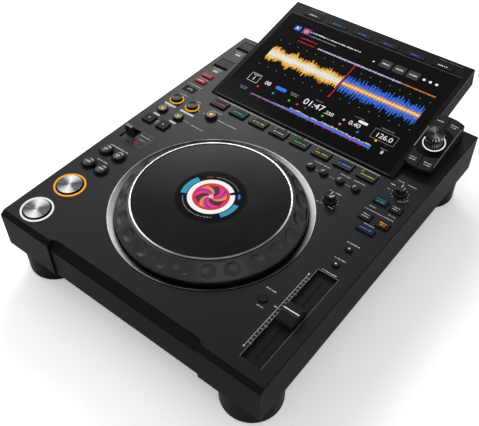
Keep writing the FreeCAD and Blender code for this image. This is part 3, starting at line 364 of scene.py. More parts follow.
def soften(obj, width):
    bevel = obj.modifiers.new("soft_edge", "BEVEL")
    bevel.width = width * MM
    bevel.segments = 3
    bevel.limit_method = "ANGLE"
    bevel.angle_limit = math.radians(38.0)
    bevel.harden_normals = True
    bevel.use_clamp_overlap = True


def paint(obj, material):
    obj.data.materials.clear()
    obj.data.materials.append(material)


for name, obj in NODES.items():
    paint(obj, PAINTS[name])
    smooth_by_angle(obj)
    soften(obj, SOFT_EDGES.get(name, DEFAULT_EDGE))


# ---- shapes for prints, lenses and rings

def flip_up(points):
    """The same corners, anticlockwise, so that the face looks up."""
    area = sum(a[0] * b[1] - b[0] * a[1] for a, b in zip(points, points[1:] + points[:1]))
    return points if area > 0.0 else points[::-1]


def rect(x, y, width, depth, turn=0.0):
    c, s = math.cos(math.radians(turn)), math.sin(math.radians(turn))
    corners = [(-width / 2, -depth / 2), (width / 2, -depth / 2), (width / 2, depth / 2),
               (-width / 2, depth / 2)]
    return [[(x + a * c - b * s, y + a * s + b * c) for a, b in corners]]


def round_rect(x, y, width, depth, radius, steps=5):
    points = []
    for sx, sy, start in ((1, 1, 0), (-1, 1, 90), (-1, -1, 180), (1, -1, 270)):
        for step in range(steps + 1):
            angle = math.radians(start + 90.0 * step / steps)
            points.append((x + sx * (width / 2 - radius) + radius * math.cos(angle),
                           y + sy * (depth / 2 - radius) + radius * math.sin(angle)))
    return [points]


def disc(x, y, radius, sides=32):
    turns = [math.tau * k / sides for k in range(sides)]
    return [[(x + radius * math.cos(a), y + radius * math.sin(a)) for a in turns]]


def ring(x, y, inner, outer, start=0.0, end=360.0, pace=5.0):
    count = max(2, int(round((end - start) / pace)))
    faces = []
    for k in range(count):
        a = math.radians(start + (end - start) * k / count)
        b = math.radians(start + (end - start) * (k + 1) / count)
        faces.append([(x + r * math.cos(t), y + r * math.sin(t))
                      for r, t in ((inner, a), (outer, a), (outer, b), (inner, b))])
    return faces


def frame_line(x, y, width, depth, thick):
    """The four sides of a drawn rectangle."""
    across, along = (width + thick, thick), (thick, depth - thick)
    return (rect(x, y + depth / 2, *across) + rect(x, y - depth / 2, *across)
            + rect(x - width / 2, y, *along) + rect(x + width / 2, y, *along))


def at_each(shape, places, *rest):
    """The same shape at each place."""
    return [face for x, y in places for face in shape(x, y, *rest)]


def mesh_of(name, work):
    """The mesh that was built up, with the working copy let go."""
    mesh = bpy.data.meshes.new(name)
    work.to_mesh(mesh)
    work.free()
    return mesh


def add(name, data):
    obj = bpy.data.objects.new(name, data)
    bpy.context.scene.collection.objects.link(obj)
    return obj


WORDS = random.Random(5)


def greek(x, y, width, height):
    """A line of small bars that stands for a word or two, with nothing to read in it."""
    faces = []
    at = x - width / 2
    while at < x + width / 2 - 0.3:
        stroke = min(WORDS.uniform(0.45, 0.95) * height, x + width / 2 - at)
        tall = height * WORDS.choice((0.72, 0.86, 1.0))
        faces += rect(at + stroke / 2, y - (height - tall) / 2, stroke, tall)
        at += stroke + height * WORDS.choice((0.28, 0.28, 0.34, 0.85))
    return faces


def flat(name, faces, material, body=CHASSIS, where=None, lift=0.06, thick=0.1):
    """Thin printed or lit shapes on a face, as one piece."""
    work = bmesh.new()
    for points in faces:
        corners = [work.verts.new((a * MM, b * MM, lift * MM)) for a, b in flip_up(points)]
        work.faces.new(corners)
    obj = add(name, mesh_of(name, work))
    obj.matrix_world = where or deck_frame()
    solid = obj.modifiers.new("thickness", "SOLIDIFY")
    solid.thickness = thick * MM
    solid.offset = -1.0
    paint(obj, material)
    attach(obj, body)
    return obj


def lathe(name, profile, material, body=CHASSIS, where=None, teeth=0,
          bite=0.0):
    """A closed (radius, height) profile turned about the frame's z; teeth make a ribbed rim."""
    work = bmesh.new()
    loops = []
    sides = teeth * 4 if teeth else 64
    for k in range(sides):
        angle = math.tau * k / sides
        ribbed = 1.0 if not teeth else (1.0, 1.0, 1.0 - bite, 1.0 - bite)[k % 4]
        loops.append([work.verts.new((r * ribbed * math.cos(angle) * MM,
                                      r * ribbed * math.sin(angle) * MM, z * MM))
                      for r, z in profile])
    for one, two in zip(loops, loops[1:] + loops[:1]):
        for k in range(len(profile)):
            j = (k + 1) % len(profile)
            work.faces.new((one[k], two[k], two[j], one[j]))
    bmesh.ops.remove_doubles(work, verts=work.verts, dist=1e-7)
    bmesh.ops.recalc_face_normals(work, faces=work.faces)
    obj = add(name, mesh_of(name, work))
    obj.matrix_world = where or deck_frame()
    smooth_by_angle(obj, 40.0)
    paint(obj, material)
    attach(obj, body)
    return obj


def dome(radius, rise, base=0.0, steps=6):
    """The profile of a low lens."""
    points = [(0.0, base), (radius, base)]
    for k in range(1, steps + 1):
        angle = math.radians(90.0 * k / steps)
        points.append((radius * math.cos(angle), base + rise * math.sin(angle)))
    return points


def hoop(inner, outer, low, high, soft=0.2):
    """The profile of a ring with softened top edges."""
    return [(inner, low), (outer, low), (outer, high - soft), (outer - soft, high),
            (inner + soft, high), (inner, high - soft)]


def numeral(name, text, size, where, material, body=CHASSIS):
    curve = bpy.data.curves.new(name, "FONT")
    curve.body = text
    curve.size = size * MM
    curve.extrude = 0.04 * MM
    curve.align_x = curve.align_y = "CENTER"
    curve.materials.append(material)
    obj = add(name, curve)
    obj.matrix_world = where
    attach(obj, body)
    return obj


def triangle(x, y, size, way=1.0):
    return [[(x - way * size / 2, y - size * 0.55), (x + way * size / 2, y),
             (x - way * size / 2, y + size * 0.55)]]


# ---- left column

def transport():
    glow = hoop(15.3, 17.1, 0.0, 1.0)
    play = lathe("play_light", glow, WHITE_LIT, where=deck_frame(*PLAY))
    lathe("cue_light", glow, AMBER_LIT, where=deck_frame(*CUE))
    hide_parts("transport_light_rings")
    flat("play_mark", triangle(-1.6, 0, 2.6) + rect(1.0, 0, 0.7, 2.6) + rect(2.3, 0, 0.7, 2.6),
         PRINT, "play_button_body", deck_frame(*PLAY, 2.0))
    flat("cue_mark", greek(0, 0, 5.0, 1.6), PRINT, "cue_button_body",
         deck_frame(*CUE, 2.0))


def search_buttons():
    beds = []
    for y in (-96.0, -69.5):
        beds += rect(-137.5, y, 10, 7.0)
        for x in (-147.0, -128.0):
            beds += disc(x, y, 9.2)
    flat("search_beds", beds, BLACK_PRINT, lift=0.05)
    for row, y in (("track_search", -96.0), ("scan", -69.5)):
        marks = []
        for x, way in ((-147.0, -1.0), (-128.0, 1.0)):
            lathe(f"{row}_cap_{'left' if way < 0 else 'right'}",
                  [(0, 3.0), (6.2, 3.0), (6.35, 3.3), (5.4, 3.9), (3.2, 3.7), (0, 3.6)],
                  GLOSS_CAP, f"{row}_buttons_body", deck_frame(x, y))
            marks += triangle(x - 1.3, y, 2.8, way) + triangle(x + 1.3, y, 2.8, way)
            if row == "track_search":
                marks += rect(x + way * 3.2, y, 0.7, 3.0)
        flat(f"{row}_marks", marks, PRINT, f"{row}_buttons_body", deck_frame(z=3.95), lift=0.1)


def ring_buttons():
    for name, x in (("loop_in", -147.0), ("loop_out", -123.0)):
        body = f"{name}_button_body"
        lathe(f"{name}_glow", hoop(7.35, 8.6, 0.0, 1.3, 0.3), YELLOW_LIT,
              where=deck_frame(x, BUTTON_ROW))
        lathe(f"{name}_cup",
              [(0, 4.02), (6.7, 4.02), (6.5, 4.45), (5.6, 4.5), (4.2, 4.16), (0, 4.08)],
              CUP_BLACK, body, deck_frame(x, BUTTON_ROW))
    for name, x, y, body, top, radius in (
            ("loop_size_left", -147.5, 22.0, "loop_size_buttons_body", 3.0, 2.1),
            ("loop_size_right", -123.0, 22.0, "loop_size_buttons_body", 3.0, 2.1),
            ("reloop", -94.0, BUTTON_ROW, "reloop_button_body", 4.0, 2.5)):
        where = deck_frame(x, y)
        lathe(f"{name}_lens", dome(radius, 0.35, top), YELLOW_LIT, body, where)
        lathe(f"{name}_rim", hoop(radius + 1.2, radius + 2.4, top, top + 0.3, 0.12), GLOSS_CAP,
              body, where)
    flat("button_wells", [face for x, y, r in (
        (-147, 46.5, 9.0), (-123, 46.5, 9.0), (-147.5, 22, 7.2), (-123, 22, 7.2), (-94, 46.5, 8.2),
        (45, 46.5, 5.6), (61.5, 46.5, 5.6), (82, 46.5, 5.6), (101, 46.5, 5.6), (109.5, -124.5, 5.4),
        (139.5, -27.5, 4.6), (139.5, -51, 4.6)) for face in disc(x, y, r)], BLACK_PRINT, lift=0.05)
    for index, x in enumerate((45.0, 61.5, 82.0, 101.0)):
        lathe(f"memory_cap_{index + 1}", dome(4.1, 0.8, 3.0), GLOSS_CAP, "memory_buttons_body",
              deck_frame(x, BUTTON_ROW))


def left_prints():
    white = (greek(-138, -84, 15, 1.7) + greek(-138, -58.5, 26, 1.7)
             + greek(-136, 3, 7, 1.3) + greek(-136, -0.5, 6, 1.3)
             + greek(-148, 32, 10, 1.1) + rect(-104, 46.5, 6, 0.35) + rect(-112, 46.5, 4, 0.35)
             + greek(-70, 46.5, 27, 1.2) + rect(-111, 22, 10, 0.35) + greek(-94, 21, 18, 1.2)
             + greek(-147, 58.6, 12, 1.2) + greek(-123, 58.6, 6, 1.2) + greek(-94, 57.2, 16, 1.0)
             + greek(-148, 81, 22, 1.2) + greek(-128.5, -27, 13, 1.3))
    flat("left_words", white, PRINT)
    flat("loop_labels", round_rect(-147, 34.5, 17, 3.0, 0.6) + round_rect(-121, 34.5, 20, 3.0, 0.6)
         + round_rect(-147.5, 11.8, 9, 2.6, 0.5) + round_rect(-123, 11.8, 9, 2.6, 0.5), PRINT)
    flat("touch_mark", frame_line(-148, 71, 20, 13, 0.5), DIM_PRINT)
    flat("touch_mark_field", rect(-148, 71, 18.5, 11.5), BLACK_PRINT, lift=0.04)
    flat("touch_mark_dots", disc(-151, 71, 0.8) + disc(-148, 71, 0.8) + disc(-145, 71, 0.8)
         + rect(-148, 73.2, 5, 0.5), PRINT)
    flat("direction_box", frame_line(-128.5, -33, 17, 22, 0.4), DIM_PRINT)
    flat("direction_word", greek(-128.5, -33, 9, 1.5), GREEN_PRINT)
    flat("direction_spot", round_rect(-132, -40.2, 5.0, 3.6, 1.2), DIM_RED, lift=0.08)
    flat("lever_floor", rect(-146.4, -37.4, 14.6, 8.6), SAGE, where=deck_frame(z=-1.9), lift=0.0)
    flat("jump_marks", disc(-148, 0.5, 1.0) + disc(-127, 0.5, 1.0), PRINT, "beat_jump_buttons_body",
         deck_frame(z=2.5))
    flat("media_windows", at_each(round_rect, ((-147, 118.5), (-147, 163.5)), 8, 3.6, 0.8),
         GLOSS_CAP)
    flat("media_words", greek(-147, 123.5, 13, 1.3) + greek(-147, 168.5, 13, 1.3)
         + greek(-148, 98, 12, 0.9), PRINT)
    flat("door_lips", rect(-148, 173.0, 19, 0.5) + rect(-148, 126.6, 19, 0.5), DIM_PRINT)
    flat("stop_marks", greek(-148, 91.5, 8, 1.4), PRINT, "media_stop_buttons_body",
         deck_frame(z=1.8))
    flat("stop_marks_dim", greek(-148, 104.5, 8, 1.4), DIM_PRINT, "media_stop_buttons_body",
         deck_frame(z=1.8))
    flat("lever_top", rect(0, 0, 9.6, 3.6), LEVER_TOP, "direction_lever_body",
         deck_frame(*LEVER, 12.0))
    flat("lever_ribs", [face for k in range(3) for face in rect(0, -1.2 + 1.2 * k, 8.6, 0.35)],
         BLACK_PRINT, "direction_lever_body", deck_frame(*LEVER, 12.05))


# ---- pads and right column

PAD_COLOURS = ((0.80, 0.05, 0.10), (0.05, 0.62, 0.66), (0.72, 0.74, 0.08), grey(0.75),
               (0.10, 0.68, 0.16), (0.78, 0.62, 0.06), (0.12, 0.35, 0.90), (0.62, 0.74, 0.10))


def pads():
    for index, colour in enumerate(PAD_COLOURS):
        glow = lit(f"pad_light_{index + 1}", colour, 0.55, rough=0.4)
        body = f"hot_cue_pad_{index + 1}_body"
        where = deck_frame(PAD_PITCH * (index - 3.5), PAD_ROW, 2.2)
        flat(f"pad_word_{index + 1}", greek(0.6, -1.2, 15.5, 2.0), glow, body, where)
        flat(f"pad_edge_{index + 1}", frame_line(0, 0, 18.6, 10.6, 0.3), DIM_PRINT, body, where)
        numeral(f"pad_number_{index + 1}", str(index + 1), 3.6, where @ Matrix.Translation(
            Vector((-7.0, 3.0, 0.08)) * MM), glow, body)
    flat("pad_line", at_each(rect, ((-62, 79.8), (62, 79.8)), 97, 0.7) + greek(0, 79.8, 18, 1.2),
         PRINT)
    places = [(PAD_PITCH * (k - 3.5), PAD_ROW) for k in range(8)]
    flat("pad_wells", at_each(round_rect, places, 23.0, 15.0, 1.4), BLACK_PRINT, lift=0.04)


def right_prints():
    words = (greek(82.5, 57.5, 13, 1.3) + greek(99.5, 57.5, 14, 1.3) + rect(53.3, 46.5, 5, 0.4)
             + greek(53, 57.5, 20, 1.2) + rect(72, 46.5, 6, 0.35) + rect(91.5, 46.5, 7, 0.4)
             + greek(88, 29.8, 15, 1.4) + greek(81, 8.6, 6, 1.0) + greek(95, 8.6, 6, 1.0)
             + greek(133, 86, 8, 1.2) + greek(145.5, 86, 10, 1.2) + rect(128, 77, 5, 1.0)
             + greek(138.5, 30.6, 33, 1.1) + greek(128, 36, 8, 1.0) + greek(150, 36, 8, 1.0)
             + greek(138.5, 11.6, 12, 1.0) + greek(139.5, -19.5, 14, 1.2)
             + greek(139.5, -43, 12, 1.2) + greek(109.5, -111.5, 11, 1.2)
             + greek(140.5, -62.8, 16, 1.2)
             + greek(112, -132.6, 7, 0.9))
    flat("right_words", words, PRINT)
    dots = []
    for k in range(11):
        angle = math.radians(-60 + 30 * k)
        for (x, y), away, radius in ((SPEED_KNOB, 8.8, 0.45), (TOUCH_KNOB, 8.6, 0.4)):
            dots += disc(x + away * math.cos(angle), y + away * math.sin(angle), radius, 10)
    flat("knob_dots", dots, PRINT)
    flat("speed_range", ring(*SPEED_KNOB, 11.2, 11.6, -75, -12, 6.0)
         + rect(127.4, SPEED_KNOB[1], 3.4, 0.5), PRINT)
    scale = rect(126, -124.5, 0.4, 96)
    for k in range(21):
        wide = 3.6 if k % 5 == 0 else 2.0
        scale += rect(127 + wide / 2, -124.5 + 4.4 * (k - 10), wide, 0.35)
    scale += disc(126, -75.4, 0.9, 14) + disc(126, -173.6, 0.9, 14) + rect(123.6, -124.5, 3.4, 0.9)
    flat("tempo_scale", scale, PRINT)
    flat("fader_edges", rect(129.4, -124.5, 0.5, 118.5) + rect(140.5, -65.2, 22.2, 0.5)
         + rect(151.6, -124.5, 0.3, 118.5), DIM_PRINT)
    flat("fader_slot_line", round_rect(140.5, -124.5, 3.0, 99, 1.4), BLACK_PRINT,
         where=deck_frame(z=WELL_FLOOR), lift=0.03)
    flat("fader_marks", rect(134, -124.5, 4.5, 0.6) + rect(147, -124.5, 4.5, 0.6), DIM_PRINT,
         where=deck_frame(z=WELL_FLOOR), lift=0.05)


def right_buttons():
    for name, faces, material, row in (
            ("mode_marks", greek(129.5, 48.4, 8, 1.3) + rect(134.6, 48.4, 1.6, 1.3), BLUE_LIT,
             "mode"),
            ("mode_marks_green", greek(131, 45.2, 9, 1.2), GREEN_LIT, "mode"),
            ("menu_marks", greek(148.5, 47.6, 8, 1.2) + greek(148.5, 44.6, 6, 1.2), PRINT,
             "mode"),
            ("sync_marks", greek(129, 21.6, 7, 1.2) + greek(129, 18.4, 8, 1.2), PRINT, "sync"),
            ("master_marks", greek(149, 21, 8, 1.4) + greek(149, 18.2, 6, 1.2), AMBER_LIT,
             "sync"),
            ("key_marks", greek(138.5, 4, 13, 1.6), BLUE_LIT, "sync")):
        flat(name, faces, material, f"{row}_buttons_body", deck_frame(z=1.8))
    for index, (x, y, radius, top) in enumerate((
            (139.5, -27.5, 3.5, 2.0), (139.5, -51, 3.5, 2.0), (109.5, -124.5, 4.0, 1.5))):
        lathe(f"tempo_rim_{index + 1}", hoop(radius - 1.3, radius - 0.3, top, top + 0.25, 0.1),
              GLOSS_CAP, "tempo_buttons_body", deck_frame(x, y))
        if index < 2:
            lathe(f"tempo_lens_{index + 1}", dome(0.9, 0.25, top), WHITE_LIT, "tempo_buttons_body",
                  deck_frame(x, y))
    for name, (x, y), body in (("touch", TOUCH_KNOB, "touch_cue_knob_body"),
                               ("speed", SPEED_KNOB, "speed_knob_body")):
        where = deck_frame(x, y)
        lathe(f"{name}_knob_ribs",
              [(4.2, 3.2), (5.05, 3.2), (5.75, 8.8), (5.4, 9.35), (4.2, 9.35)],
              KNOB, body, where, teeth=24, bite=0.06)
        lathe(f"{name}_knob_cap", [(0, 9.5), (4.9, 9.5), (4.5, 9.75), (3.6, 9.6), (0, 9.55)],
              GLOSS_CAP, body, where)
        flat(f"{name}_knob_line", rect(0, 2.6, 0.9, 4.6), PRINT, body, deck_frame(x, y, 9.75))
        lathe(f"{name}_knob_collar", hoop(6.6, 7.6, 0.0, 0.35, 0.1), BLACK_PRINT, where=where)


def tempo_cap():
    body = "tempo_slider_body"
    flat("slider_line", rect(0, 0, 16.4, 0.9), WHITE_LIT, body, deck_frame(*SLIDER, 8.0),
         lift=0.12)
    run, fall = 7.5, 6.0
    for side, end in ((-1.0, "front"), (1.0, "back")):
        slope = Matrix.Rotation(-side * math.atan2(fall, run), 4, "X")
        for step in range(4):
            share = 0.16 + 0.2 * step
            y = SLIDER[1] + side * (4.0 + run * share)
            flat(f"slider_rib_{end}_{step + 1}", round_rect(0, 0, 15.4, 0.8, 0.35), RIB_GREY,
                 body, deck_frame(SLIDER[0], y, 8.5 - fall * share) @ slope, lift=0.16, thick=0.3)


# ---- jog wheel

def grip_ring():
    """The rubber grip with soft oval finger dimples, over the same turned shape as the CAD's."""
    low, high, rows = (95.5, 5.5), (84.5, 14.7), 14
    dimples, sides_each, middle = 24, 20, 90.0
    half_across, half_along, depth = 8.2, 6.8, 2.0
    # How far the painted shade reaches in each dimple, across and along the grip.
    shade_across, shade_along = 7.4, 6.1
    profile = [(78.0, -3.0), (97.4, -3.0), (98.0, -2.4), (98.0, 2.0), (97.7, 2.9), (96.9, 4.0)]
    first = len(profile)
    for k in range(rows + 1):
        share = k / rows
        profile.append((low[0] + share * (high[0] - low[0]), low[1] + share * (high[1] - low[1])))
    profile += [(83.6, 15.25), (82.6, 15.5), (82.0, 15.5), (82.0, 13.0), (78.0, 13.0)]
    run = Vector((high[0] - low[0], high[1] - low[1])).normalized()
    inward = Vector((-run.y, run.x))
    length = math.hypot(high[0] - low[0], high[1] - low[1])
    work = bmesh.new()
    sides = dimples * sides_each

    def from_dimple(side):
        """How far round the grip a side lies from the middle of its dimple."""
        return ((side / sides * dimples) % 1.0 - 0.5) * math.tau * middle / dimples

    loops = []
    for side in range(sides):
        across = from_dimple(side)
        angle = math.tau * (side / sides)
        loop = []
        for index, (radius, height) in enumerate(profile):
            if first <= index <= first + rows:
                along = ((index - first) / rows - 0.5) * length
                far = math.hypot(across / half_across, along / half_along)
                if far < 1.0:
                    dip = depth * (1.0 - far ** 3)
                    radius += inward.x * dip
                    height += inward.y * dip
            x, y = radius * math.cos(angle) * MM, radius * math.sin(angle) * MM
            loop.append(work.verts.new((x, y, height * MM)))
        loops.append(loop)
    for side, (one, two) in enumerate(zip(loops, loops[1:] + loops[:1])):
        across = from_dimple(side + 0.5)
        for k in range(len(profile)):
            j = (k + 1) % len(profile)
            face = work.faces.new((one[k], two[k], two[j], one[j]))
            along = ((k + 0.5 - first) / rows - 0.5) * length
            # Faces deep in a dimple take the second material, which paints shade in the hollow.
            if first <= k < first + rows:
                dark = math.hypot(across / shade_across, along / shade_along) < 1.0
                face.material_index = int(dark)
    bmesh.ops.recalc_face_normals(work, faces=work.faces)
    obj = add("jog_grip", mesh_of("jog_grip", work))
    obj.matrix_world = deck_frame(*JOG)
    smooth_by_angle(obj, 50.0)
    paint(obj, GRIP)
    obj.data.materials.append(GRIP_DIMPLE_SHADE)
    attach(obj, "jog_wheel")
    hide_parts("jog_grip_ring")


def blades(count, radius, twist, first, width, steps=7):
    """Curved blades of a pinwheel, each a strip from the middle to the rim."""
    faces = []
    for k in range(count):
        start = first + 360.0 * k / count
        for step in range(steps):
            r0, r1 = radius * step / steps, radius * (step + 1) / steps
            a0 = math.radians(start + twist * step / steps)
            a1 = math.radians(start + twist * (step + 1) / steps)
            w = math.radians(width)
            corners = [(r * math.cos(a), r * math.sin(a))
                       for r, a in ((r0, a0), (r1, a1), (r1, a1 + w), (r0, a0 + w))]
            faces.append(corners if step else corners[:3])
    return faces


def jog_screen():
    words = []
    for k in range(16):
        turn = 216.0 + 6.2 * k
        at = math.radians(turn)
        wide = 1.9 if k % 3 else 1.1
        words += rect(28.4 * math.cos(at), 28.4 * math.sin(at), wide, 1.1, turn + 90)
    for name, faces, material, lift in (
            ("art_base", disc(0, 0, 16.0, 64), MAGENTA, 0.04),
            ("art_dark", blades(3, 16.0, 80, 20, 44), PLUM, 0.07),
            ("art_orange", blades(3, 16.0, 80, 64, 22), ORANGE, 0.08),
            ("art_violet", blades(3, 16.0, 80, 100, 12), VIOLET, 0.08),
            ("art_hub", disc(0, 0, 2.6, 40), PALE_PINK, 0.12),
            ("red_ring", ring(0, 0, 16.2, 18.9), RED_LIT, 0.1),
            ("white_ring", ring(0, 0, 19.0, 24.0, 52, 402), WHITE_LIT, 0.12),
            ("blue_arc", ring(0, 0, 25.2, 31.4, 155, 207), CYAN_LIT, 0.08),
            ("blue_arc_low", ring(0, 0, 25.2, 30.6, 328, 372), CYAN_LIT, 0.08),
            ("blue_dash", ring(0, 0, 27.0, 29.4, 30, 42), BLUE_LIT, 0.08),
            ("grey_arc", ring(0, 0, 27.8, 28.6, 52, 118), DIM_PRINT, 0.08),
            ("red_dash", ring(0, 0, 27.4, 28.8, 124, 138), DIM_RED, 0.08),
            ("words", words, GREY_LIT, 0.06),
            ("display_edge", ring(0, 0, 35.2, 35.8), BLACK_PRINT, 0.04)):
        flat(f"jog_{name}", faces, material, where=deck_frame(0, JOG[1], 16.2), lift=lift)


# ---- touch display

def wave(start, end, middle, height, pitch, seed, shape):
    """Thin upright bars whose heights follow a made-up loudness."""
    chance = random.Random(seed)
    faces = []
    at = start
    while at < end:
        tall = max(0.5, height * (shape(at) * chance.uniform(0.55, 1.0)))
        faces += rect(at + pitch * 0.4, middle, pitch * 0.8, tall)
        at += pitch
    return faces


def beat(at):
    """Slow beats, each with a soft middle."""
    near = abs(((at + 200.0) % 26.0) - 13.0) / 13.0
    return 0.62 + 0.38 * near ** 1.5


def pulse(at):
    """Close, even beats."""
    return 0.42 + 0.58 * abs(math.sin(at * 0.82))


def swell(at):
    """A long rise and fall with a shorter one on it."""
    return 0.35 + 0.4 * abs(math.sin(at * 0.055)) + 0.25 * abs(math.sin(at * 0.21 + 1.0))


def build(at):
    """A track map that starts low and fills up."""
    return 0.18 + 0.3 * min(1.0, max(0.0, (at + 62.0) / 40.0)) + 0.5 * swell(at) * (at > -28.0)


def bars_up(start, end, base, height, pitch, seed, shape):
    """Thin bars that stand on one line."""
    chance = random.Random(seed)
    faces = []
    for k in range(int((end - start) / pitch)):
        at = start + pitch * k
        tall = height * shape(at) * chance.uniform(0.75, 1.0)
        faces += rect(at, base + tall / 2, pitch * 0.85, tall)
    return faces


def screen():
    face = display_frame(0, 0, -0.3)

    def draw(name, faces, material, lift=0.05):
        flat(f"ui_{name}", faces, material, where=face, lift=lift, thick=0.04)

    def write(name, text, u, v, size, material):
        numeral(f"ui_{name}", text, size, face @ Matrix.Translation(Vector((u, v, 0.08)) * MM),
                material)

    draw("icon", round_rect(-95, 140, 8, 8, 1.2), BLUE_LIT)
    draw("icon_mark", triangle(-95, 140, 3.6), WHITE_LIT, 0.08)
    draw("thumb", rect(-82, 140, 11, 10), VIOLET)
    draw("thumb_mark", disc(-82, 140, 3.4, 24), ORANGE, 0.08)
    draw("title", greek(-40, 141.8, 72, 1.9), WHITE_LIT)
    draw("line", greek(-55.5, 135.8, 39, 1.5), GREY_LIT)
    draw("alert", greek(-70, 128, 24, 1.6) + greek(-70, 121.6, 24, 1.6), RED_LIT)
    boxes = ((32, 139), (50, 139), (68, 139))
    draw("boxes", at_each(round_rect, boxes, 15, 12, 1.0), UI_GREY)
    draw("box_words", at_each(greek, boxes, 9, 1.8), WHITE_LIT, 0.09)
    draw("dots", at_each(disc, ((90, 139), (98, 139), (82, 139)), 1.8, 20) + disc(17, 136, 1.2, 16),
         WHITE_LIT)
    draw("trend", wave(-53, 62, 121.6, 3.4, 1.1, 3, pulse), LILAC_LIT)
    draw("trend_end", wave(62, 105, 121.6, 2.4, 1.1, 4, pulse), ORANGE)
    for name, (start, end, pitch, shape), height, seed, material, lift in (
            ("wave_glow", (-102, 0.5, 0.9, beat), 33, 11, AMBER_LIT, 0.04),
            ("wave_core", (-102, 0.5, 0.9, beat), 23, 12, CREAM_LIT, 0.07),
            ("wave_peak", (-102, 0.5, 0.9, beat), 11, 13, WHITE_LIT, 0.1),
            ("next_glow", (3.5, 105, 0.8, pulse), 36, 21, BLUE_LIT, 0.04),
            ("next_core", (3.5, 105, 0.8, pulse), 12, 22, ORANGE, 0.07),
            ("next_peak", (3.5, 105, 0.8, pulse), 5.5, 23, CREAM_LIT, 0.1)):
        draw(name, wave(start, end, 88.5, height, pitch, seed, shape), material, lift)
    draw("playhead", rect(2, 91.5, 0.9, 57) + triangle(2, 63, 2.4) + triangle(2, 120, 2.4, -1),
         RED_LIT, 0.14)
    ticks = [(2 + 12.9 * k, v) for k in range(-8, 9) for v in (66.0, 112.0)]
    draw("beats", at_each(disc, ticks, 0.6, 10), GREY_LIT)
    draw("deck_box", frame_line(-92, 44, 14, 13, 0.4) + greek(-92, 48.6, 8, 1.0), WHITE_LIT)
    write("deck_number", "1", -92, 42.6, 9.0, WHITE_LIT)
    write("track_number", "08", -72, 44, 8.0, WHITE_LIT)
    draw("pill", round_rect(-53, 44.5, 15, 5, 2.2), BLUE_LIT)
    draw("small_words", greek(-34, 46.4, 12, 1.2) + greek(-34, 43.6, 10, 1.2)
         + greek(-3, 51.5, 10, 1.0) + greek(50, 53, 12, 1.0) + greek(86, 53.5, 16, 1.2), GREY_LIT)
    write("time", "01:47", -5.5, 43, 12.5, WHITE_LIT)
    write("time_small", ".250", 16.5, 41, 7.0, WHITE_LIT)
    draw("plus", rect(36, 42, 3.4, 0.7) + rect(36, 42, 0.7, 3.4), WHITE_LIT)
    write("percent", "0.40", 50, 42, 8.5, WHITE_LIT)
    draw("range_pill", round_rect(57, 49, 12, 3.6, 1.6), WHITE_LIT)
    draw("bpm_box", frame_line(87.5, 43.2, 29, 14, 0.4), GREY_LIT)
    write("bpm", "126.0", 87.5, 42.4, 9.5, WHITE_LIT)
    marks = ((-80, RED_LIT), (-57.5, CYAN_LIT), (-34.5, GREEN_LIT), (-23, RED_LIT),
             (-11.5, VIOLET), (12, GREEN_LIT), (35.5, ORANGE), (58.5, BLUE_LIT),
             (82, YELLOW_LIT), (95, PLUM))
    for index, (u, colour) in enumerate(marks):
        draw(f"marker_{index + 1}", disc(u, 34.5, 1.5, 20), colour)
    draw("map_white", bars_up(-80, 82, 21.2, 6.6, 1.0, 32, build), CREAM_LIT, 0.04)
    draw("map_blue", bars_up(-80, 82, 21.2, 5.4, 1.0, 31, build), BLUE_LIT, 0.08)
    draw("map_line", rect(1, 21.0, 162, 0.4), RED_LIT)
    ticks = [(-80 + 11.5 * k, 19.4) for k in range(15)]
    draw("map_ticks", at_each(rect, ticks, 0.35, 1.4), GREY_LIT)
    draw("side_words", greek(-94, 26, 11, 1.2) + greek(-94, 23.4, 8, 1.2), GREY_LIT)
    write("key", "8", 96, 23.5, 6.5, WHITE_LIT)
    draw("key_word", greek(96, 28.6, 9, 1.0), GREY_LIT)


def display_trim():
    edge = display_frame()
    # Painted highlight: thin light lines along the frame's edges below and above the glass.
    flat("display_edge_highlight", rect(0, 1.5, 236, 0.35) + rect(0, 161.6, 236, 0.25), DIM_PRINT,
         where=edge)
    places = [(KEY_PITCH * (k - 2.5), KEY_ROW) for k in range(6)]
    flat("display_wells", at_each(round_rect, places, 28.2, 9.2, 0.8), BLACK_PRINT, where=edge,
         lift=0.03)
    for index, place in enumerate(places):
        flat(f"display_key_word_{index + 1}", greek(*place, 12, 1.5),
             WHITE_LIT if index in (0, 5) else BLUE_LIT, "display_buttons_body",
             display_frame(n=0.8))
    flat("display_words", greek(-90, 176.5, 20, 1.4) + greek(96, 176.5, 30, 1.2), DIM_PRINT,
         where=edge)


# ---- selector wing

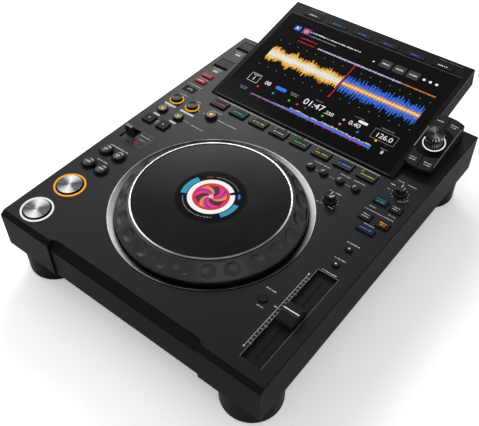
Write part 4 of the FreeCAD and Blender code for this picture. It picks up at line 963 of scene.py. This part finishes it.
def wing():
    face = display_frame(*SELECTOR, 2.0)
    half = 16.2
    turns = [math.tau * k / 64 for k in range(64)]
    outer = [(max(-half, min(half, 20.8 * math.cos(a))), 20.8 * math.sin(a)) for a in turns]
    flat("selector_dial", [outer], CUP_BLACK, where=face, lift=0.05)
    lathe("selector_light", hoop(11.1, 12.3, 0.0, 0.9, 0.25), WHITE_LIT, where=face)
    lathe("selector_well", [(0, 0.04), (10.8, 0.04), (10.8, 0.4), (10.2, 0.12), (0, 0.1)],
          BLACK_PRINT, where=face)
    grip = [(7.4, 6.2), (8.1, 6.2), (10.25, 13.0), (10.25, 14.6), (9.6, 15.9), (7.4, 15.9)]
    skirt = [(7.2, 1.3), (9.3, 1.3), (9.3, 2.6), (8.1, 5.6), (7.2, 5.6)]
    top = [(0, 16.0), (9.2, 16.0), (8.6, 15.95), (0, 15.9)]
    for name, profile, teeth, bite in (
            ("grip", grip, 18, 0.05), ("skirt", skirt, 24, 0.07), ("top", top, 0, 0.0)):
        lathe(f"selector_{name}", profile, SELECTOR_METAL, "rotary_selector_body", face,
              teeth, bite)
    keys = display_frame(*SELECTOR, 2.6)
    words = (rect(-8.5, 29.5, 7.5, 1.0) + greek(8.5, 30.5, 9, 1.3) + greek(8.5, 27.6, 7, 1.3)
             + greek(-8.5, -28, 9, 1.3) + greek(-8.5, -31, 7, 1.3) + greek(8.5, -28, 9, 1.3)
             + greek(8.5, -31, 7, 1.3))
    flat("wing_words", words, PRINT, "selector_keys_body", keys)
    # Painted highlights: light lines along the wing's left and right edges.
    flat("wing_edge_highlights", rect(-15.9, 2, 0.6, 32) + rect(15.95, 0, 0.35, 60), EDGE_HIGHLIGHT, where=face)


# ---- rear and underside

def rear_frame(x=0.0, z=0.0):
    """A frame on the back of the case: x to the viewer's right from behind, y up."""
    place = Matrix.Translation(Vector((x, CASE_BACK + CENTRE, z)) * MM)
    return place @ Matrix.Rotation(math.pi, 4, "Z") @ Matrix.Rotation(math.pi / 2, 4, "X")


def rear():
    colours = (WHITE_SHELL, RED_SHELL, ORANGE_SHELL)
    sockets = [14.0 * (k + 1) - 45.0 for k in range(3)]
    for index, (x, material) in enumerate(zip(sockets, colours)):
        lathe(f"audio_collar_{index + 1}", hoop(2.3, 3.9, -0.4, -0.02, 0.12), material,
              where=rear_frame(x, 52.0))
    words = at_each(greek, [(-x, 9.4) for x in sockets], 7, 1.0)
    words += greek(-50, 9.4, 12, 1.0) + greek(-85, 9.4, 9, 1.0)
    flat("rear_words", words, PRINT, where=rear_frame(0, 52.0), lift=0.0)
    slots = at_each(round_rect, [(66 - 4.6 * k, 52) for k in range(12)], 2.0, 16, 0.9)
    flat("rear_vents", slots, BLACK_PRINT, where=rear_frame(), lift=0.0)
    cover = display_frame(0, 0, -24.0) @ Matrix.Rotation(math.pi, 4, "Y")
    places = [(8 * k - 60, v) for v in (150, 159) for k in range(16)]
    flat("cover_vents", at_each(round_rect, places, 5.4, 1.6, 0.7), BLACK_PRINT, where=cover,
         lift=0.0)


transport()
search_buttons()
ring_buttons()
left_prints()
pads()
right_prints()
right_buttons()
tempo_cap()
grip_ring()
jog_screen()
screen()
display_trim()
wing()
rear()


# ---- floor, backdrop, light and camera

def shown_rays(tree):
    """1 for what the camera or a reflection sees, and 0 for the light that falls on the object."""
    rays = tree.nodes.new("ShaderNodeLightPath")
    seen = rays.outputs["Is Camera Ray"]
    for kind in ("Is Glossy Ray", "Is Transmission Ray"):
        either = tree.nodes.new("ShaderNodeMath")
        either.operation = "MAXIMUM"
        tree.links.new(seen, either.inputs[0])
        tree.links.new(rays.outputs[kind], either.inputs[1])
        seen = either.outputs[0]
    return seen


def camera_white(name, shade):
    """A pale surface that takes the object's shadow."""
    g = Graph(name)
    slow = g.noise(1.2, 2.0)
    g.surface(slow, grey(shade - 0.01), grey(shade), (0.7, 0.85))
    g.shader.inputs["Emission Color"].default_value = (*grey(1.0), 1.0)
    g.feed(g.shader.inputs["Emission Strength"], g.maths("MULTIPLY", shown_rays(g.tree), 0.3))
    return g.material


def make_floor():
    work = bmesh.new()
    bmesh.ops.create_grid(work, x_segments=8, y_segments=8, size=9.0)
    floor = add("floor", mesh_of("floor", work))
    paint(floor, camera_white("floor_pale", 0.86))


def make_world(plain, shown):
    """A plain studio dome whose colour is white where the camera or a reflection sees it."""
    world = bpy.data.worlds.new("studio")
    bpy.context.scene.world = world
    world.use_nodes = True
    tree = world.node_tree
    light = tree.nodes["Background"]
    light.inputs["Color"].default_value = (*grey(plain), 1.0)
    seen = tree.nodes.new("ShaderNodeBackground")
    seen.inputs["Color"].default_value = (*grey(shown), 1.0)
    pick = tree.nodes.new("ShaderNodeMixShader")
    tree.links.new(shown_rays(tree), pick.inputs["Fac"])
    tree.links.new(light.outputs[0], pick.inputs[1])
    tree.links.new(seen.outputs[0], pick.inputs[2])
    tree.links.new(pick.outputs[0], tree.nodes["World Output"].inputs["Surface"])


def make_lamp(name, place, size, power):
    lamp = bpy.data.lights.new(name, "AREA")
    lamp.shape = "RECTANGLE"
    lamp.size, lamp.size_y = size
    lamp.energy = power
    obj = add(name, lamp)
    obj.location = place
    aim = Vector((0.0, 0.0, 0.06)) - Vector(place)
    obj.rotation_euler = aim.to_track_quat("-Z", "Y").to_euler()


# The photograph's camera, solved from the long edges of the case and the circles of the jog wheel:
# degrees, then millimetres from the middle of the case, then pixels.
CAMERA_TURN, CAMERA_RISE, CAMERA_ROLL = 38.646, 46.497, -0.532
CAMERA_BACK, CAMERA_RIGHT, CAMERA_UP = 742.582, -12.257, -42.766
FOCAL_PIXELS, PHOTO_WIDTH = 698.249, 479.0
SENSOR = 36.0


def make_camera():
    turn, rise, roll = (math.radians(a) for a in (CAMERA_TURN, CAMERA_RISE, CAMERA_ROLL))
    back = Vector((math.sin(turn) * math.cos(rise), -math.cos(turn) * math.cos(rise),
                   math.sin(rise)))
    right = Vector((0.0, 0.0, 1.0)).cross(back).normalized()
    up = back.cross(right)
    right_rolled = math.cos(roll) * right + math.sin(roll) * up
    up_rolled = -math.sin(roll) * right + math.cos(roll) * up
    place = back * CAMERA_BACK + right_rolled * CAMERA_RIGHT + up_rolled * CAMERA_UP
    place = (place + Vector((0.0, CENTRE, DECK))) * MM
    camera = bpy.data.cameras.new("photo_camera")
    camera.sensor_width = SENSOR
    camera.lens = SENSOR * FOCAL_PIXELS / PHOTO_WIDTH
    camera.clip_start, camera.clip_end = 0.05, 50.0
    obj = add("photo_camera", camera)
    axes = Matrix((right_rolled, up_rolled, back)).transposed().to_4x4()
    obj.matrix_world = Matrix.Translation(place) @ axes
    bpy.context.scene.camera = obj


make_floor()
make_world(0.55, 1.0)
make_lamp("key_light", (-1.7, 0.2, 1.7), (1.4, 1.4), 15.0)
make_lamp("back_light", (-1.15, 1.4, 1.3), (1.0, 0.6), 26.0)
make_lamp("fill_light", (1.4, -1.2, 1.6), (1.6, 1.6), 8.0)
make_camera()
bpy.context.scene.view_settings.view_transform = "Standard"
